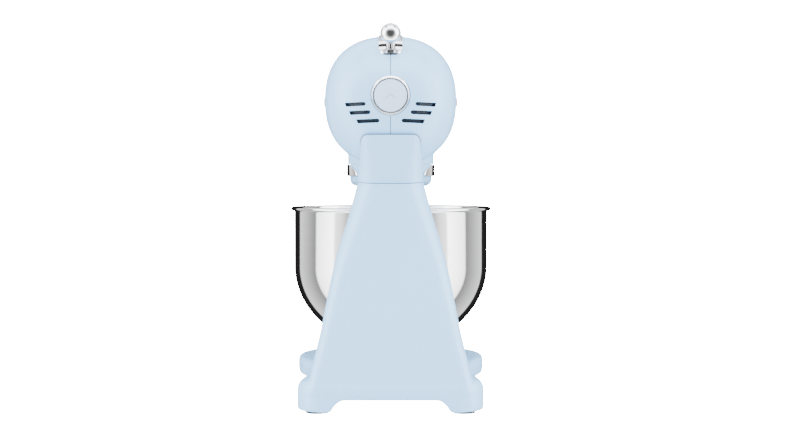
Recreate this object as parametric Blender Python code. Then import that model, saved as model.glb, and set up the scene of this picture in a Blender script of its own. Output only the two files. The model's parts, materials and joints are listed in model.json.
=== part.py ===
"""Stand mixer with a tilting head, a planetary drive and a bayonet bowl.

Units are metres and +Z is up. X = 0 is the mirror plane and -Y is the front, where the
bowl is. The origin is the middle of the footprint, on the table. Every piece is built in
place in world coordinates; a moving piece then gets its origin on its joint's axis.
"""
import math

import bmesh
import bpy
from mathutils import Matrix, Vector

MM = 0.001

# ---------------------------------------------------------------- driving dimensions
GAP = 0.3 * MM                # between pieces that touch
RUN = 0.3 * MM                # round a turning shaft
FULL = 2 * math.pi

# head: a superellipse body, with a dome behind that is turned about the tilt axis
HEAD_HALF_WIDTH = 65.6 * MM
HEAD_HALF_HEIGHT = 64.2 * MM
HEAD_POWER = 2.35
HEAD_WALL = 2.5 * MM
PIVOT = Vector((0, 126, 305)) * MM          # tilt axis, along X, at the dome's centre
TAPER_START_Y = -40 * MM
NOSE_Y = -147 * MM
NOSE_FULLNESS = 0.897         # share of the taper's bullet curve that is kept
SEAM = 0.15 * MM              # half the split line between the two shells

# drive
SPINDLE_Y = -54 * MM          # upright axis of the planetary drive and of the bowl
DRIVE_DROP = 14 * MM          # power hub axis below the tilt axis
GEAR_MODULE = 1.5625 * MM
MOTOR_TEETH = 8
WHEEL_TEETH = 32
PLANET_TEETH = 10
RING_TEETH = 42
BEVEL_TEETH = 8
CROWN_TEETH = 24
CROWN_PITCH_R = 33 * MM
BEVEL_FACE = 11 * MM
BACKLASH = 0.24               # share of a tooth's thickness

# chin under the head
CHIN_R = 47.5 * MM
CHIN_WALL = 3 * MM
CHIN_LOW_R = 45.2 * MM
CHIN_ROUND = 8 * MM
BAND_TOP_DROP = 62.8 * MM     # band's top edge below the head's axis
BAND_HEIGHT = 12.7 * MM
BAND_THICK = 1 * MM
BAND_WRAP = math.radians(131)
BAND_TAIL = math.radians(36)              # over which the band's end curves down
CHIN_BOTTOM_DROP = 86.6 * MM

# column and neck
SEAM_DROP = 82.3 * MM         # line between neck cover and column, below the head's axis
SEAM_SLOPE = 0.062            # the line rises towards the front
NECK_LIP_DROP = 35.2 * MM
NECK_HALF_WIDTH = 32.8 * MM
NECK_LIP_HALF_WIDTH = 28.0 * MM
NECK_REAR_Y = 166 * MM
NECK_FRONT_Y = 76 * MM
NECK_WALL = 3 * MM
NECK_CORNER_R = 23 * MM       # in plan, at the seam
LIP_CORNER_R = 9 * MM
COLUMN_CORNER_R = 12 * MM     # in plan, at the foot
DOME_GAP = 1.2 * MM           # between the turning dome and the neck cover
COLUMN_FOOT_HALF_WIDTH = 82.3 * MM
COLUMN_FOOT_FRONT_Y = 51 * MM
CASTING_WALL = 3.2 * MM

# base
BASE_HALF_WIDTH = 90.9 * MM
BASE_REAR_Y = 201 * MM
BASE_CORNER_R = 29 * MM
BASE_TOP = 32.5 * MM
BASE_UNDERSIDE = 14 * MM
WAIST_HALF_WIDTH = 80 * MM
WAIST_Y = 66 * MM
PLATFORM_R = 102 * MM
REAR_EDGE_R = 9 * MM
FRONT_EDGE_R = 4 * MM
FOOT_INNER_X = 58 * MM
REAR_FOOT_LENGTH = 66 * MM
FRONT_FOOT_R = 17 * MM
FRONT_FOOT_X = 60 * MM
PAD_HEIGHT = 2 * MM

# bowl
BOWL_WALL = 1.3 * MM
BOWL_BODY_R = 106.3 * MM
BOWL_RIM_R = 110.5 * MM
BOWL_RIM_Z = 195.7 * MM
BOWL_CURVE_Z = 130 * MM
BOWL_FLOOR_Z = 45 * MM
BOWL_CURVE_DEPTH = 90 * MM
BOWL_FOOT_R = 49.5 * MM
BOWL_TWIST_LUG = math.radians(20)
SEAT_TWIST_LUG = math.radians(24)
HANDLE_REACH = 147 * MM       # from the bowl's axis
HANDLE_HALF_WIDTH = 11 * MM
HANDLE_TOP_Z = 176 * MM
HANDLE_HEIGHT = 84 * MM

# beater
BEATER_OFFSET = GEAR_MODULE * (RING_TEETH - PLANET_TEETH) / 2
BEATER_CLEAR = 4 * MM         # to the bowl's wall and floor
BEATER_HALF_THICK = 3.5 * MM
BEATER_BAR = 9 * MM

# lever, button and lock
LEVER_ANGLE = math.radians(38)            # behind the vertical, at rest
LEVER_SWING = math.radians(40)
BALL_R = 10.2 * MM
BALL_REACH = 80 * MM
STEM_R = 3.6 * MM
SLOT_CLEAR = 0.9 * MM
PLATE_HALF_WIDTH = 11.75 * MM
PLATE_TAIL = math.radians(10)              # plate beyond the lever, at the rear
PLATE_FRONT_Y = 72 * MM
PLATE_PROUD = 1.3 * MM
TILT_MAX = math.radians(38)
SHAFT_R = 6 * MM
BUTTON_R = 15.8 * MM
BUTTON_RISE = 2.5 * MM        # button's axis above the tilt axis
RING_R = 19 * MM
RING_PROUD = 0.5 * MM
KEEPER_R = 19 * MM
PAWL_PIVOT = PIVOT + Vector((0, 32, -15)) * MM

# vents: height on the dome, inner end, outer end and slot height
VENT_ROWS = ((-5.8, 24.0, 44.5), (-13.8, 19.4, 40.3), (-21.9, 10.7, 33.3))
VENT_HALF_HEIGHT = 1.75 * MM

# derived places
DRIVE_Z = PIVOT.z - DRIVE_DROP
MOTOR_Z = DRIVE_Z + GEAR_MODULE * (MOTOR_TEETH + WHEEL_TEETH) / 2
SEAM_Z = PIVOT.z - SEAM_DROP
BAND_TOP_Z = PIVOT.z - BAND_TOP_DROP
CHIN_BOTTOM_Z = PIVOT.z - CHIN_BOTTOM_DROP
FRAME_Z = PIVOT.z - 56 * MM              # underside of the chassis deck
SPINDLE = Vector((0, SPINDLE_Y, 0))
BUTTON_Z = PIVOT.z + BUTTON_RISE

# ---------------------------------------------------------------- scene and materials
for old in list(bpy.data.objects):
    bpy.data.objects.remove(old, do_unlink=True)

FINISHES = {
    "blue_paint": ((0.62, 0.75, 0.86), 0.22, 0.0),
    "chrome": ((0.80, 0.80, 0.81), 0.08, 1.0),
    "bowl_steel": ((0.72, 0.72, 0.72), 0.16, 1.0),
    "black_plastic": ((0.02, 0.02, 0.022), 0.5, 0.0),
    "rubber": ((0.03, 0.03, 0.03), 0.85, 0.0),
    "cast_aluminium": ((0.55, 0.56, 0.58), 0.45, 1.0),
    "gear_steel": ((0.42, 0.42, 0.44), 0.35, 1.0),
    "shaft_steel": ((0.60, 0.60, 0.62), 0.25, 1.0),
    "lamination": ((0.25, 0.25, 0.27), 0.5, 1.0),
    "copper": ((0.72, 0.38, 0.22), 0.35, 1.0),
    "board_green": ((0.05, 0.22, 0.10), 0.5, 0.0),
    "button_white": ((0.80, 0.87, 0.92), 0.3, 0.0),
    "beater_grey": ((0.70, 0.71, 0.72), 0.4, 1.0),
}


def make_material(name):
    """A Principled material in one of the finishes above."""
    colour, roughness, metallic = FINISHES[name]
    material = bpy.data.materials.new(name)
    material.use_nodes = True
    shader = material.node_tree.nodes["Principled BSDF"]
    shader.inputs["Base Color"].default_value = (*colour, 1)
    shader.inputs["Roughness"].default_value = roughness
    shader.inputs["Metallic"].default_value = metallic
    return material


MATERIALS = {name: make_material(name) for name in FINISHES}


# ---------------------------------------------------------------- mesh helpers
def finish_mesh(name, bm, finish=None):
    """Turn a closed bmesh into an object with outward faces and smooth round sides."""
    bmesh.ops.recalc_face_normals(bm, faces=bm.faces)
    mesh = bpy.data.meshes.new(name)
    bm.to_mesh(mesh)
    bm.free()
    mesh.shade_smooth()
    mesh.set_sharp_from_angle(angle=math.radians(35))
    piece = bpy.data.objects.new(name, mesh)
    bpy.context.collection.objects.link(piece)
    if finish:
        mesh.materials.append(MATERIALS[finish])
    return piece


def loft(name, rings, finish=None, closed=False, pole=None):
    """Skin a list of rings. closed joins the last ring to the first; pole ends in a point."""
    bm = bmesh.new()
    loops = [[bm.verts.new(point) for point in ring] for ring in rings]
    count = len(rings[0])
    pairs = list(zip(loops, loops[1:]))
    if closed:
        pairs.append((loops[-1], loops[0]))
    for low, high in pairs:
        for i in range(count):
            j = (i + 1) % count
            bm.faces.new((low[i], low[j], high[j], high[i]))
    if not closed:
        bm.faces.new(loops[0])
        if pole is None:
            bm.faces.new(loops[-1])
        else:
            tip = bm.verts.new(pole)
            for i in range(count):
                bm.faces.new((loops[-1][i], loops[-1][(i + 1) % count], tip))
    return finish_mesh(name, bm, finish)


def frame_axes(axis):
    """Two directions square to an axis that is 'X', 'Y' or 'Z', and the axis itself."""
    along = {"X": Vector((1, 0, 0)), "Y": Vector((0, 1, 0)), "Z": Vector((0, 0, 1))}[axis]
    first = {"X": Vector((0, 1, 0)), "Y": Vector((0, 0, 1)), "Z": Vector((1, 0, 0))}[axis]
    return first, along.cross(first), along


def turned(name, profile, finish=None, centre=(0, 0, 0), axis="Z", segments=32):
    """Revolve a closed profile of (radius, distance along the axis) that is off the axis."""
    first, second, along = frame_axes(axis)
    centre = Vector(centre)
    rings = []
    for k in range(segments):
        angle = FULL * k / segments
        out = first * math.cos(angle) + second * math.sin(angle)
        rings.append([centre + out * r + along * h for r, h in profile])
    return loft(name, rings, finish, closed=True)


def turned_solid(name, profile, finish=None, centre=(0, 0, 0), axis="Z", segments=32):
    """Revolve an open profile whose two ends are flat discs."""
    first, second, along = frame_axes(axis)
    centre = Vector(centre)
    turns = [FULL * k / segments for k in range(segments)]
    outs = [first * math.cos(a) + second * math.sin(a) for a in turns]
    rings = [[centre + out * r + along * h for out in outs] for r, h in profile]
    return loft(name, rings, finish)


def rod(name, centre, axis, radius, low, high, finish=None, segments=24):
    """A plain cylinder from low to high along an axis through centre."""
    return turned_solid(name, ((radius, low), (radius, high)), finish, centre, axis, segments)


def box(name, low, high, finish=None):
    """A box between two corners."""
    rings = []
    for z in (low[2], high[2]):
        rings.append([
            (low[0], low[1], z), (high[0], low[1], z), (high[0], high[1], z), (low[0], high[1], z)
        ])
    return loft(name, rings, finish)


def slab(name, outline, axis, low, high, finish=None):
    """Extrude a flat outline of (u, v) points along an axis, from low to high."""
    first, second, along = frame_axes(axis)
    rings = [[first * u + second * v + along * h for u, v in outline] for h in (low, high)]
    return loft(name, rings, finish)


def boolean(target, tool, operation):
    """Apply an exact Boolean to target and drop the tool."""
    modifier = target.modifiers.new("boolean", "BOOLEAN")
    modifier.operation = operation
    modifier.solver = "EXACT"
    modifier.object = tool
    graph = bpy.context.evaluated_depsgraph_get()
    result = bpy.data.meshes.new_from_object(target.evaluated_get(graph))
    target.modifiers.clear()
    target.data = result
    result.shade_smooth()
    result.set_sharp_from_angle(angle=math.radians(35))
    bpy.data.objects.remove(tool, do_unlink=True)
    return target


def cut(target, tool):
    """Take tool away from target."""
    return boolean(target, tool, "DIFFERENCE")


def join(target, tool):
    """Weld tool to target."""
    return boolean(target, tool, "UNION")


def keep(target, tool):
    """Keep only what of target lies inside tool."""
    return boolean(target, tool, "INTERSECT")


def arc(centre, radius, start, end, steps):
    """Points on a circle's arc in a plane, both ends included."""
    turns = [start + (end - start) * k / steps for k in range(steps + 1)]
    return [(centre[0] + radius * math.cos(a), centre[1] + radius * math.sin(a)) for a in turns]


def smooth_step(share):
    """0 to 1 with level ends."""
    share = min(1.0, max(0.0, share))
    return share * share * (3 - 2 * share)


def power_cos(angle, power):
    """Signed |cos|^power, for superellipses."""
    value = math.cos(angle)
    return math.copysign(abs(value) ** power, value)


def power_sin(angle, power):
    """Signed |sin|^power, for superellipses."""
    value = math.sin(angle)
    return math.copysign(abs(value) ** power, value)


# ---------------------------------------------------------------- head surface
def nose_share(y):
    """0 at the start of the taper and 1 at the flat front."""
    return max(0.0, (TAPER_START_Y - y) / (TAPER_START_Y - NOSE_Y))


def head_section(y, offset):
    """Half-width, half-height and centre height of the head at y, moved out by offset."""
    share = nose_share(y)
    size = (1 - (NOSE_FULLNESS * share) ** 3) ** (1 / 2.2)
    centre_z = PIVOT.z - DRIVE_DROP * smooth_step(share)
    return HEAD_HALF_WIDTH * size + offset, HEAD_HALF_HEIGHT * size + offset, centre_z


def head_ring(y, offset, count):
    """Ring of points round the head at y. Behind the tilt axis the dome is turned about it."""
    half_width, half_height, centre_z = head_section(y, offset)
    behind = max(0.0, y - PIVOT.y)
    top = math.sqrt(max(0.0, half_height ** 2 - behind ** 2))
    points = []
    for k in range(count):
        angle = FULL * k / count
        up = top * power_sin(angle, 2 / HEAD_POWER)
        reach = min(1.0, math.hypot(behind, up) / half_height)
        side = half_width * (1 - reach ** HEAD_POWER) ** (1 / HEAD_POWER)
        points.append((math.copysign(side, power_cos(angle, 1)), y, centre_z + up))
    points[count // 4] = (0, y, centre_z + top)
    points[3 * count // 4] = (0, y, centre_z - top)
    return points


def head_solid(name, offset, count=24, front_steps=6, dome_steps=8):
    """The head's outer form, moved out by offset."""
    front = NOSE_Y - offset
    ys = [front + (TAPER_START_Y - front) * smooth_step(k / front_steps) ** 0.8
          for k in range(front_steps)]
    ys += [TAPER_START_Y, (TAPER_START_Y + PIVOT.y) / 2]
    radius = HEAD_HALF_HEIGHT + offset
    ys += [PIVOT.y + radius * math.sin(math.pi / 2 * k / dome_steps) for k in range(dome_steps)]
    rings = [head_ring(y, offset, count) for y in ys]
    return loft(name, rings, pole=(0, PIVOT.y + radius, PIVOT.z))


def dome_slot(name, half_width, rear_angle, front_angle, inner, outer):
    """A sector round the tilt axis, angles measured from straight up towards the rear."""
    steps = 10
    outline = []
    for radius, flip in ((inner, 1), (outer, -1)):
        turns = [rear_angle + (front_angle - rear_angle) * k / steps for k in range(steps + 1)]
        outline += [(PIVOT.y + radius * math.sin(a), PIVOT.z + radius * math.cos(a))
                    for a in turns[::flip]]
    return slab(name, outline, "X", -half_width, half_width)


def stem_slot(name, half_width, inner, outer):
    """The slot that the lever's stem sweeps, with square ends."""
    rest = LEVER_ANGLE + math.asin(half_width / HEAD_HALF_HEIGHT) + math.radians(1.5)
    forward = LEVER_ANGLE - LEVER_SWING - math.asin(half_width / HEAD_HALF_HEIGHT)
    return dome_slot(name, half_width, rest, forward - math.radians(1.5), inner, outer)


# ---------------------------------------------------------------- gears
def tooth_heights(module):
    """Addendum and dedendum."""
    return 0.8 * module, 1.1 * module


def tooth_half(height, module):
    """Half a tooth's thickness at a height above the pitch line."""
    return module * math.pi / 4 * (1 - BACKLASH) - height * math.tan(math.radians(20))


def gear_outline(teeth, module, phase, internal=False):
    """Points (angle, radius) round a spur gear; a tooth is centred on phase."""
    addendum, dedendum = tooth_heights(module)
    pitch = teeth * module / 2
    heights = (-dedendum, 0.0, addendum) if teeth < 20 else (-dedendum, addendum)
    sign = -1 if internal else 1
    points = []
    for k in range(teeth):
        centre = phase + FULL * k / teeth
        for height in heights:
            points.append((centre - tooth_half(height, module) / pitch, pitch + sign * height))
        for height in heights[::-1]:
            points.append((centre + tooth_half(height, module) / pitch, pitch + sign * height))
    return points


def spur_gear(name, centre, axis, low, high, outline, finish, bore=None):
    """Extrude a gear outline, with a round bore if one is given."""
    uv = [(radius * math.cos(angle), radius * math.sin(angle)) for angle, radius in outline]
    first, second, along = frame_axes(axis)
    centre = Vector(centre)
    rings = [[centre + first * u + second * v + along * h for u, v in uv] for h in (low, high)]
    gear = loft(name, rings, finish)
    if bore:
        cut(gear, rod("bore", centre, axis, bore, low - MM, high + MM, segments=20))
    return gear


def bevel_gear(name, apex, axis_vector, up_vector, teeth, mate_teeth, phase, hub, back, finish):
    """A straight bevel gear: its teeth run towards the apex. hub is its core's radius."""
    slant = math.atan2(teeth, mate_teeth)
    cone = CROWN_PITCH_R / math.sin(math.atan2(CROWN_TEETH, BEVEL_TEETH))
    module = 2 * CROWN_PITCH_R / CROWN_TEETH
    addendum, dedendum = tooth_heights(module)
    heights = (-dedendum, addendum)
    side_vector = axis_vector.cross(up_vector)
    directions = []
    for k in range(teeth):
        middle = phase + FULL * k / teeth
        edges = [(h, -1) for h in heights] + [(h, 1) for h in heights[::-1]]
        for height, sign in edges:
            polar = slant + height / cone
            turn = middle + sign * tooth_half(height, module) / (cone * math.sin(polar))
            across = up_vector * math.cos(turn) + side_vector * math.sin(turn)
            directions.append(axis_vector * math.cos(polar) + across * math.sin(polar))
    outer = [apex + d * cone for d in directions]
    inner = [apex + d * (cone - BEVEL_FACE) for d in directions]
    core = []
    for point in outer:
        radial = point - apex
        radial = (radial - axis_vector * radial.dot(axis_vector)).normalized()
        core.append(radial)
    far = (cone * math.cos(slant - dedendum / cone)) + back
    near = min((p - apex).dot(axis_vector) for p in inner) - 0.2 * MM
    rear_ring = [apex + axis_vector * far + c * (o - apex).cross(axis_vector).length
                 for c, o in zip(core, outer)]
    low_hub = [apex + axis_vector * far + c * hub for c in core]
    high_hub = [apex + axis_vector * near + c * hub for c in core]
    return loft(name, [outer, rear_ring, low_hub, high_hub, inner], finish, closed=True)


# ---------------------------------------------------------------- bodies and joints
BODIES = {}


def body(name, point):
    """An empty on a joint's axis; the pieces of one moving body are parented to it."""
    empty = bpy.data.objects.new("axis_" + name, None)
    empty.location = point
    bpy.context.collection.objects.link(empty)
    BODIES[name] = empty
    return empty


def ride(pieces, name):
    """Put each piece's origin on its body's axis and parent it there."""
    empty = BODIES[name]
    for piece in pieces:
        piece.data.transform(Matrix.Translation(-empty.location))
        piece.parent = empty


# ---------------------------------------------------------------- base and column
def base_outline(count=10):
    """Plan of the base: square-shouldered rear, waist, round platform; anticlockwise."""
    corner = (BASE_HALF_WIDTH - BASE_CORNER_R, BASE_REAR_Y - BASE_CORNER_R)
    half = [(0.0, BASE_REAR_Y)]
    half += arc(corner, BASE_CORNER_R, math.pi / 2, 0, 5)
    start = half[-1]
    half += [(start[0] + (WAIST_HALF_WIDTH - start[0]) * smooth_step(k / 4),
              start[1] + (WAIST_Y - start[1]) * k / 4) for k in range(1, 4)]
    leave = math.radians(10)
    meet = (PLATFORM_R * math.cos(leave), SPINDLE_Y + PLATFORM_R * math.sin(leave))
    half += [(WAIST_HALF_WIDTH + (meet[0] - WAIST_HALF_WIDTH) * smooth_step(k / 4),
              WAIST_Y + (meet[1] - WAIST_Y) * k / 4) for k in range(4)]
    half += arc((0, SPINDLE_Y), PLATFORM_R, leave, -math.pi / 2, count)
    mirror = [(-x, y) for x, y in half[1:-1]]
    return half[::-1] + mirror


def inset(points, distance):
    """Move a closed anticlockwise outline inwards by distance(x, y)."""
    count = len(points)
    moved = []
    for k, (x, y) in enumerate(points):
        before = points[k - 1]
        after = points[(k + 1) % count]
        along = Vector((after[0] - before[0], after[1] - before[1])).normalized()
        step = distance(x, y)
        moved.append((x - along.y * step, y + along.x * step))
    return moved


def top_edge(y):
    """Radius of the base's upper edge: large at the rear, small round the platform."""
    share = smooth_step((y - SPINDLE_Y) / (WAIST_Y - SPINDLE_Y))
    return FRONT_EDGE_R + (REAR_EDGE_R - FRONT_EDGE_R) * share


def base_body(name, low, top, shrink, rounded=True):
    """The base's form from low to top, all round smaller by shrink."""
    outline = base_outline()
    rings = [[(x, y, low) for x, y in inset(outline, lambda x, y: shrink)]]
    turns = (0, 45, 90) if rounded else (90,)
    for turn in turns:
        angle = math.radians(turn)
        flat = inset(outline, lambda x, y: shrink + top_edge(y) * (1 - math.cos(angle))
                     if rounded else shrink)
        rings.append([(x, y, top - (top_edge(y) * (1 - math.sin(angle)) if rounded else 0))
                      for x, y in flat])
    return loft(name, rings)


# share of the way from the column's foot to the neck seam, and share of the width change
COLUMN_CURVE = ((0, 0), (0.1, 0.095), (0.28, 0.277), (0.40, 0.372), (0.63, 0.573), (0.865, 0.852), (1, 1))


def column_width(share):
    """Half-width of the column, share 0 at its foot and 1 at the neck seam."""
    for (a, wa), (b, wb) in zip(COLUMN_CURVE, COLUMN_CURVE[1:]):
        if share <= b:
            local = wa + (wb - wa) * (share - a) / (b - a)
            return COLUMN_FOOT_HALF_WIDTH + (NECK_HALF_WIDTH - COLUMN_FOOT_HALF_WIDTH) * local
    return NECK_HALF_WIDTH


def plan_ring(half_width, rear, front, z, rear_radius, steps=4):
    """A plan section: a rectangle with round corners, rounder at the front."""
    front_radius = min(1.5 * rear_radius, half_width - MM)
    rear_radius = min(rear_radius, half_width - MM)
    corners = ((1, 1, rear, rear_radius), (-1, 1, rear, rear_radius),
               (-1, -1, front, front_radius), (1, -1, front, front_radius))
    points = []
    for number, (side, end, y, radius) in enumerate(corners):
        centre = (side * (half_width - radius), y - end * radius)
        start = number * math.pi / 2
        points += [(x, y, z) for x, y in arc(centre, radius, start, start + math.pi / 2, steps)]
    return points


def above_seam(name, gap):
    """Everything above the sloping line between column and neck cover."""
    ends = (NECK_FRONT_Y - 60 * MM, NECK_REAR_Y + 60 * MM)
    heights = [SEAM_Z + (NECK_REAR_Y - y) * SEAM_SLOPE + gap for y in ends]
    outline = [(ends[0], heights[0]), (ends[1], heights[1]), (ends[1], 1), (ends[0], 1)]
    return slab(name, outline, "X", -0.3, 0.3)


def column(name, low, high, shrink):
    """The column between two heights, smaller by shrink all round."""
    foot = BASE_UNDERSIDE + 6 * MM
    rear_foot = BASE_REAR_Y - 0.4 * MM
    shares = (0, 0.12, 0.3, 0.5, 0.7, 0.86, 1.0)
    heights = [low + (high - low) * s for s in shares]
    rings = []
    for z in heights:
        share = max(0.0, (z - foot) / (SEAM_Z - foot))
        rear = rear_foot + (NECK_REAR_Y - rear_foot) * share
        flare = max(0.0, 1 - share) ** 3
        front = NECK_FRONT_Y + (COLUMN_FOOT_FRONT_Y - NECK_FRONT_Y) * flare
        radius = COLUMN_CORNER_R + (NECK_CORNER_R - COLUMN_CORNER_R) * share ** 2
        width = column_width(share) - shrink
        rings.append(plan_ring(width, rear - shrink, front + shrink, z, radius - shrink))
    return loft(name, rings)


def make_pedestal():
    """Column and base in one hollow casting with feet."""
    casting = base_body("pedestal", PAD_HEIGHT + GAP, BASE_TOP, 0)
    rim = (NECK_REAR_Y - NECK_FRONT_Y) * SEAM_SLOPE
    join(casting, column("column", BASE_UNDERSIDE + 6 * MM, SEAM_Z + rim + MM, 0))
    cut(casting, above_seam("seam", -GAP))
    cut(casting, column("deck", SEAM_Z - GAP, SEAM_Z + rim + 3 * MM, CASTING_WALL))
    arch_low = FOOT_INNER_X
    arch = [(-arch_low, -MM), (arch_low, -MM), (arch_low - 4 * MM, BASE_UNDERSIDE * 0.6),
            (arch_low - 10 * MM, BASE_UNDERSIDE), (-arch_low + 10 * MM, BASE_UNDERSIDE),
            (-arch_low + 4 * MM, BASE_UNDERSIDE * 0.6)]
    first_y = SPINDLE_Y - PLATFORM_R - 5 * MM
    rings = [[(x, y, z) for x, z in arch] for y in (first_y, BASE_REAR_Y + 5 * MM)]
    cut(casting, loft("arch", rings))
    wide = 1.3 * max(BASE_HALF_WIDTH, PLATFORM_R)
    foot_end = BASE_REAR_Y - REAR_FOOT_LENGTH
    cut(casting, box("clear", (-wide, first_y, -MM), (wide, foot_end, BASE_UNDERSIDE + 0.05 * MM)))
    floor = BASE_UNDERSIDE - MM
    cut(casting, base_body("cavity", floor, BASE_TOP - CASTING_WALL, CASTING_WALL, rounded=False))
    cut(casting, column("hollow", BASE_UNDERSIDE + 7 * MM, SEAM_Z - 2.6 * CASTING_WALL, CASTING_WALL))
    for side in (-1, 1):
        spot = (side * FRONT_FOOT_X, SPINDLE_Y - 48 * MM, 0)
        join(casting, rod("foot", spot, "Z", FRONT_FOOT_R, PAD_HEIGHT + GAP, BASE_TOP - 1.5 * MM))
    for x, y in BRACKET_SCREWS:
        cut(casting, rod("hole", (x, y, 0), "Z", 2.8 * MM, SEAM_Z - 20 * MM, SEAM_Z + MM, segments=16))
    casting.data.materials.append(MATERIALS["blue_paint"])
    return casting


BRACKET_SCREWS = ((0, PIVOT.y + 22 * MM), (0, PIVOT.y - 22 * MM))


def make_base_cover():
    """Plate that closes the base from below, clear of the feet."""
    low = BASE_UNDERSIDE + 0.3 * MM
    plate = base_body("base_cover", low, low + 2 * MM, CASTING_WALL + 0.5 * MM, rounded=False)
    for side in (-1, 1):
        inner = side * (FOOT_INNER_X - 12 * MM)
        outer = side * 2 * BASE_HALF_WIDTH
        start = BASE_REAR_Y - REAR_FOOT_LENGTH - 2 * MM
        cut(plate, box("corner", (min(inner, outer), start, 0), (max(inner, outer), 1, 1)))
        spot = (side * FRONT_FOOT_X, SPINDLE_Y - 48 * MM, 0)
        cut(plate, rod("foot", spot, "Z", FRONT_FOOT_R + 0.5 * MM, 0, 1))
    cut(plate, rod("gland", GLAND_SPOT, "Z", GLAND_R + GAP, 0, 1, segments=20))
    plate.data.materials.append(MATERIALS["black_plastic"])
    return plate


GLAND_SPOT = (30 * MM, BASE_REAR_Y - 40 * MM, 0)
GLAND_R = 6.5 * MM


def make_gland():
    """Bush in the base cover that the mains lead would leave through."""
    low = BASE_UNDERSIDE
    bore = 3.8 * MM
    flange = 9.5 * MM
    profile = ((bore, low - 2.5 * MM), (flange, low - 2.5 * MM), (flange, low), (GLAND_R, low),
               (GLAND_R, low + 9 * MM), (bore, low + 9 * MM))
    return turned("cord_gland", profile, "black_plastic", GLAND_SPOT, "Z", 14)


def make_pads():
    """Four rubber pads under the feet."""
    for side, word in ((-1, "left"), (1, "right")):
        spot = (side * FRONT_FOOT_X, SPINDLE_Y - 48 * MM, 0)
        rod("foot_pad_front_" + word, spot, "Z", FRONT_FOOT_R - 2 * MM, 0, PAD_HEIGHT, "rubber")
        middle = ((FOOT_INNER_X + BASE_HALF_WIDTH) / 2 - 3 * MM) * side
        reach = REAR_FOOT_LENGTH / 2 - 8 * MM
        centre_y = BASE_REAR_Y - REAR_FOOT_LENGTH / 2 - 3 * MM
        half = (BASE_HALF_WIDTH - FOOT_INNER_X) / 2 - 5.5 * MM
        outline = arc((middle, centre_y + reach - half), half, 0, math.pi, 8)
        outline += arc((middle, centre_y - reach + half), half, math.pi, FULL, 8)
        slab("foot_pad_rear_" + word, outline, "Z", 0, PAD_HEIGHT, "rubber")


def make_neck_cover():
    """Collar on the column that cups the dome."""
    lip = PIVOT.z - NECK_LIP_DROP
    rear_reach = math.sqrt((HEAD_HALF_HEIGHT + DOME_GAP) ** 2 - NECK_LIP_DROP ** 2)
    rear_lip = PIVOT.y + rear_reach + 3.2 * MM

    def neck(name, low, shrink, top):
        rings = []
        for k in range(7):
            z = low + (top - low) * k / 6
            share = max(0.0, (z - SEAM_Z) / (lip - SEAM_Z))
            width = NECK_HALF_WIDTH + (NECK_LIP_HALF_WIDTH - NECK_HALF_WIDTH) * smooth_step(share)
            rear = NECK_REAR_Y + (rear_lip - NECK_REAR_Y) * share ** 1.3
            radius = NECK_CORNER_R + (LIP_CORNER_R - NECK_CORNER_R) * smooth_step(share)
            rings.append(plan_ring(width - shrink, rear - shrink, NECK_FRONT_Y + shrink, z, radius - shrink))
        return loft(name, rings)

    cover = neck("neck_cover", SEAM_Z, 0, lip)
    cut(cover, neck("hollow", SEAM_Z - MM, NECK_WALL, lip - 7 * MM))
    cut(cover, head_solid("dome", DOME_GAP))
    keep(cover, above_seam("seam", 0))
    cover.data.materials.append(MATERIALS["blue_paint"])
    return cover


# ---------------------------------------------------------------- tilt mechanism
EAR_IN = 10 * MM
EAR_OUT = 17 * MM


def make_bracket():
    """Casting bolted on the column: two ears that hold the tilt shaft."""
    plate_low = SEAM_Z
    plate_high = SEAM_Z + 5.5 * MM
    half = 11 * MM
    bracket = box("pivot_bracket", (-EAR_OUT - 3 * MM, NECK_FRONT_Y + 18 * MM, plate_low),
                  (EAR_OUT + 3 * MM, NECK_REAR_Y - 12 * MM, plate_high), "cast_aluminium")
    for side in (-1, 1):
        low = min(side * EAR_IN, side * EAR_OUT)
        high = max(side * EAR_IN, side * EAR_OUT)
        outline = [(PIVOT.y - half, plate_low + MM), (PIVOT.y + half, plate_low + MM)]
        outline += arc((PIVOT.y, PIVOT.z), 13 * MM, -0.56, math.pi + 0.56, 14)
        join(bracket, slab("ear", outline, "X", low, high))
    cut(bracket, rod("bore", PIVOT, "X", SHAFT_R + 0.1 * MM, -0.03, 0.03, segments=24))
    for x, y in BRACKET_SCREWS:
        cut(bracket, rod("hole", (x, y, 0), "Z", 2.8 * MM, plate_low - MM, plate_high + MM, segments=16))
    return bracket


def make_tilt():
    """Tilt shaft, the screws of its bracket, and the keeper that the pawl locks into."""
    rod("tilt_shaft", PIVOT, "X", SHAFT_R, -28.5 * MM, 28.5 * MM, "shaft_steel")
    for number, (x, y) in enumerate(BRACKET_SCREWS, 1):
        top = SEAM_Z + 5.5 * MM + GAP
        profile = ((2.4 * MM, top - 14 * MM), (2.4 * MM, top), (4.5 * MM, top), (4.5 * MM, top + 4 * MM))
        turned_solid(f"bracket_screw_{number}", profile, "shaft_steel", (x, y, 0), "Z", 12)
    keeper = rod("lock_keeper", PIVOT, "X", KEEPER_R, -3.5 * MM, 3.5 * MM, "gear_steel", 36)
    cut(keeper, rod("bore", PIVOT, "X", SHAFT_R + GAP, -0.03, 0.03, segments=24))
    rest = math.radians(50)
    for angle in (rest, rest - TILT_MAX):
        out = Vector((0, math.sin(angle), -math.cos(angle)))
        across = Vector((0, out.z, -out.y))
        spots = (out * (KEEPER_R - 3.5 * MM), out * (KEEPER_R + 3 * MM))
        outline = [(PIVOT + s + across * w) for s, w in
                   ((spots[0], -3 * MM), (spots[1], -4 * MM), (spots[1], 4 * MM), (spots[0], 3 * MM))]
        cut(keeper, slab("notch", [(p.y, p.z) for p in outline], "X", -0.01, 0.01))


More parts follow.
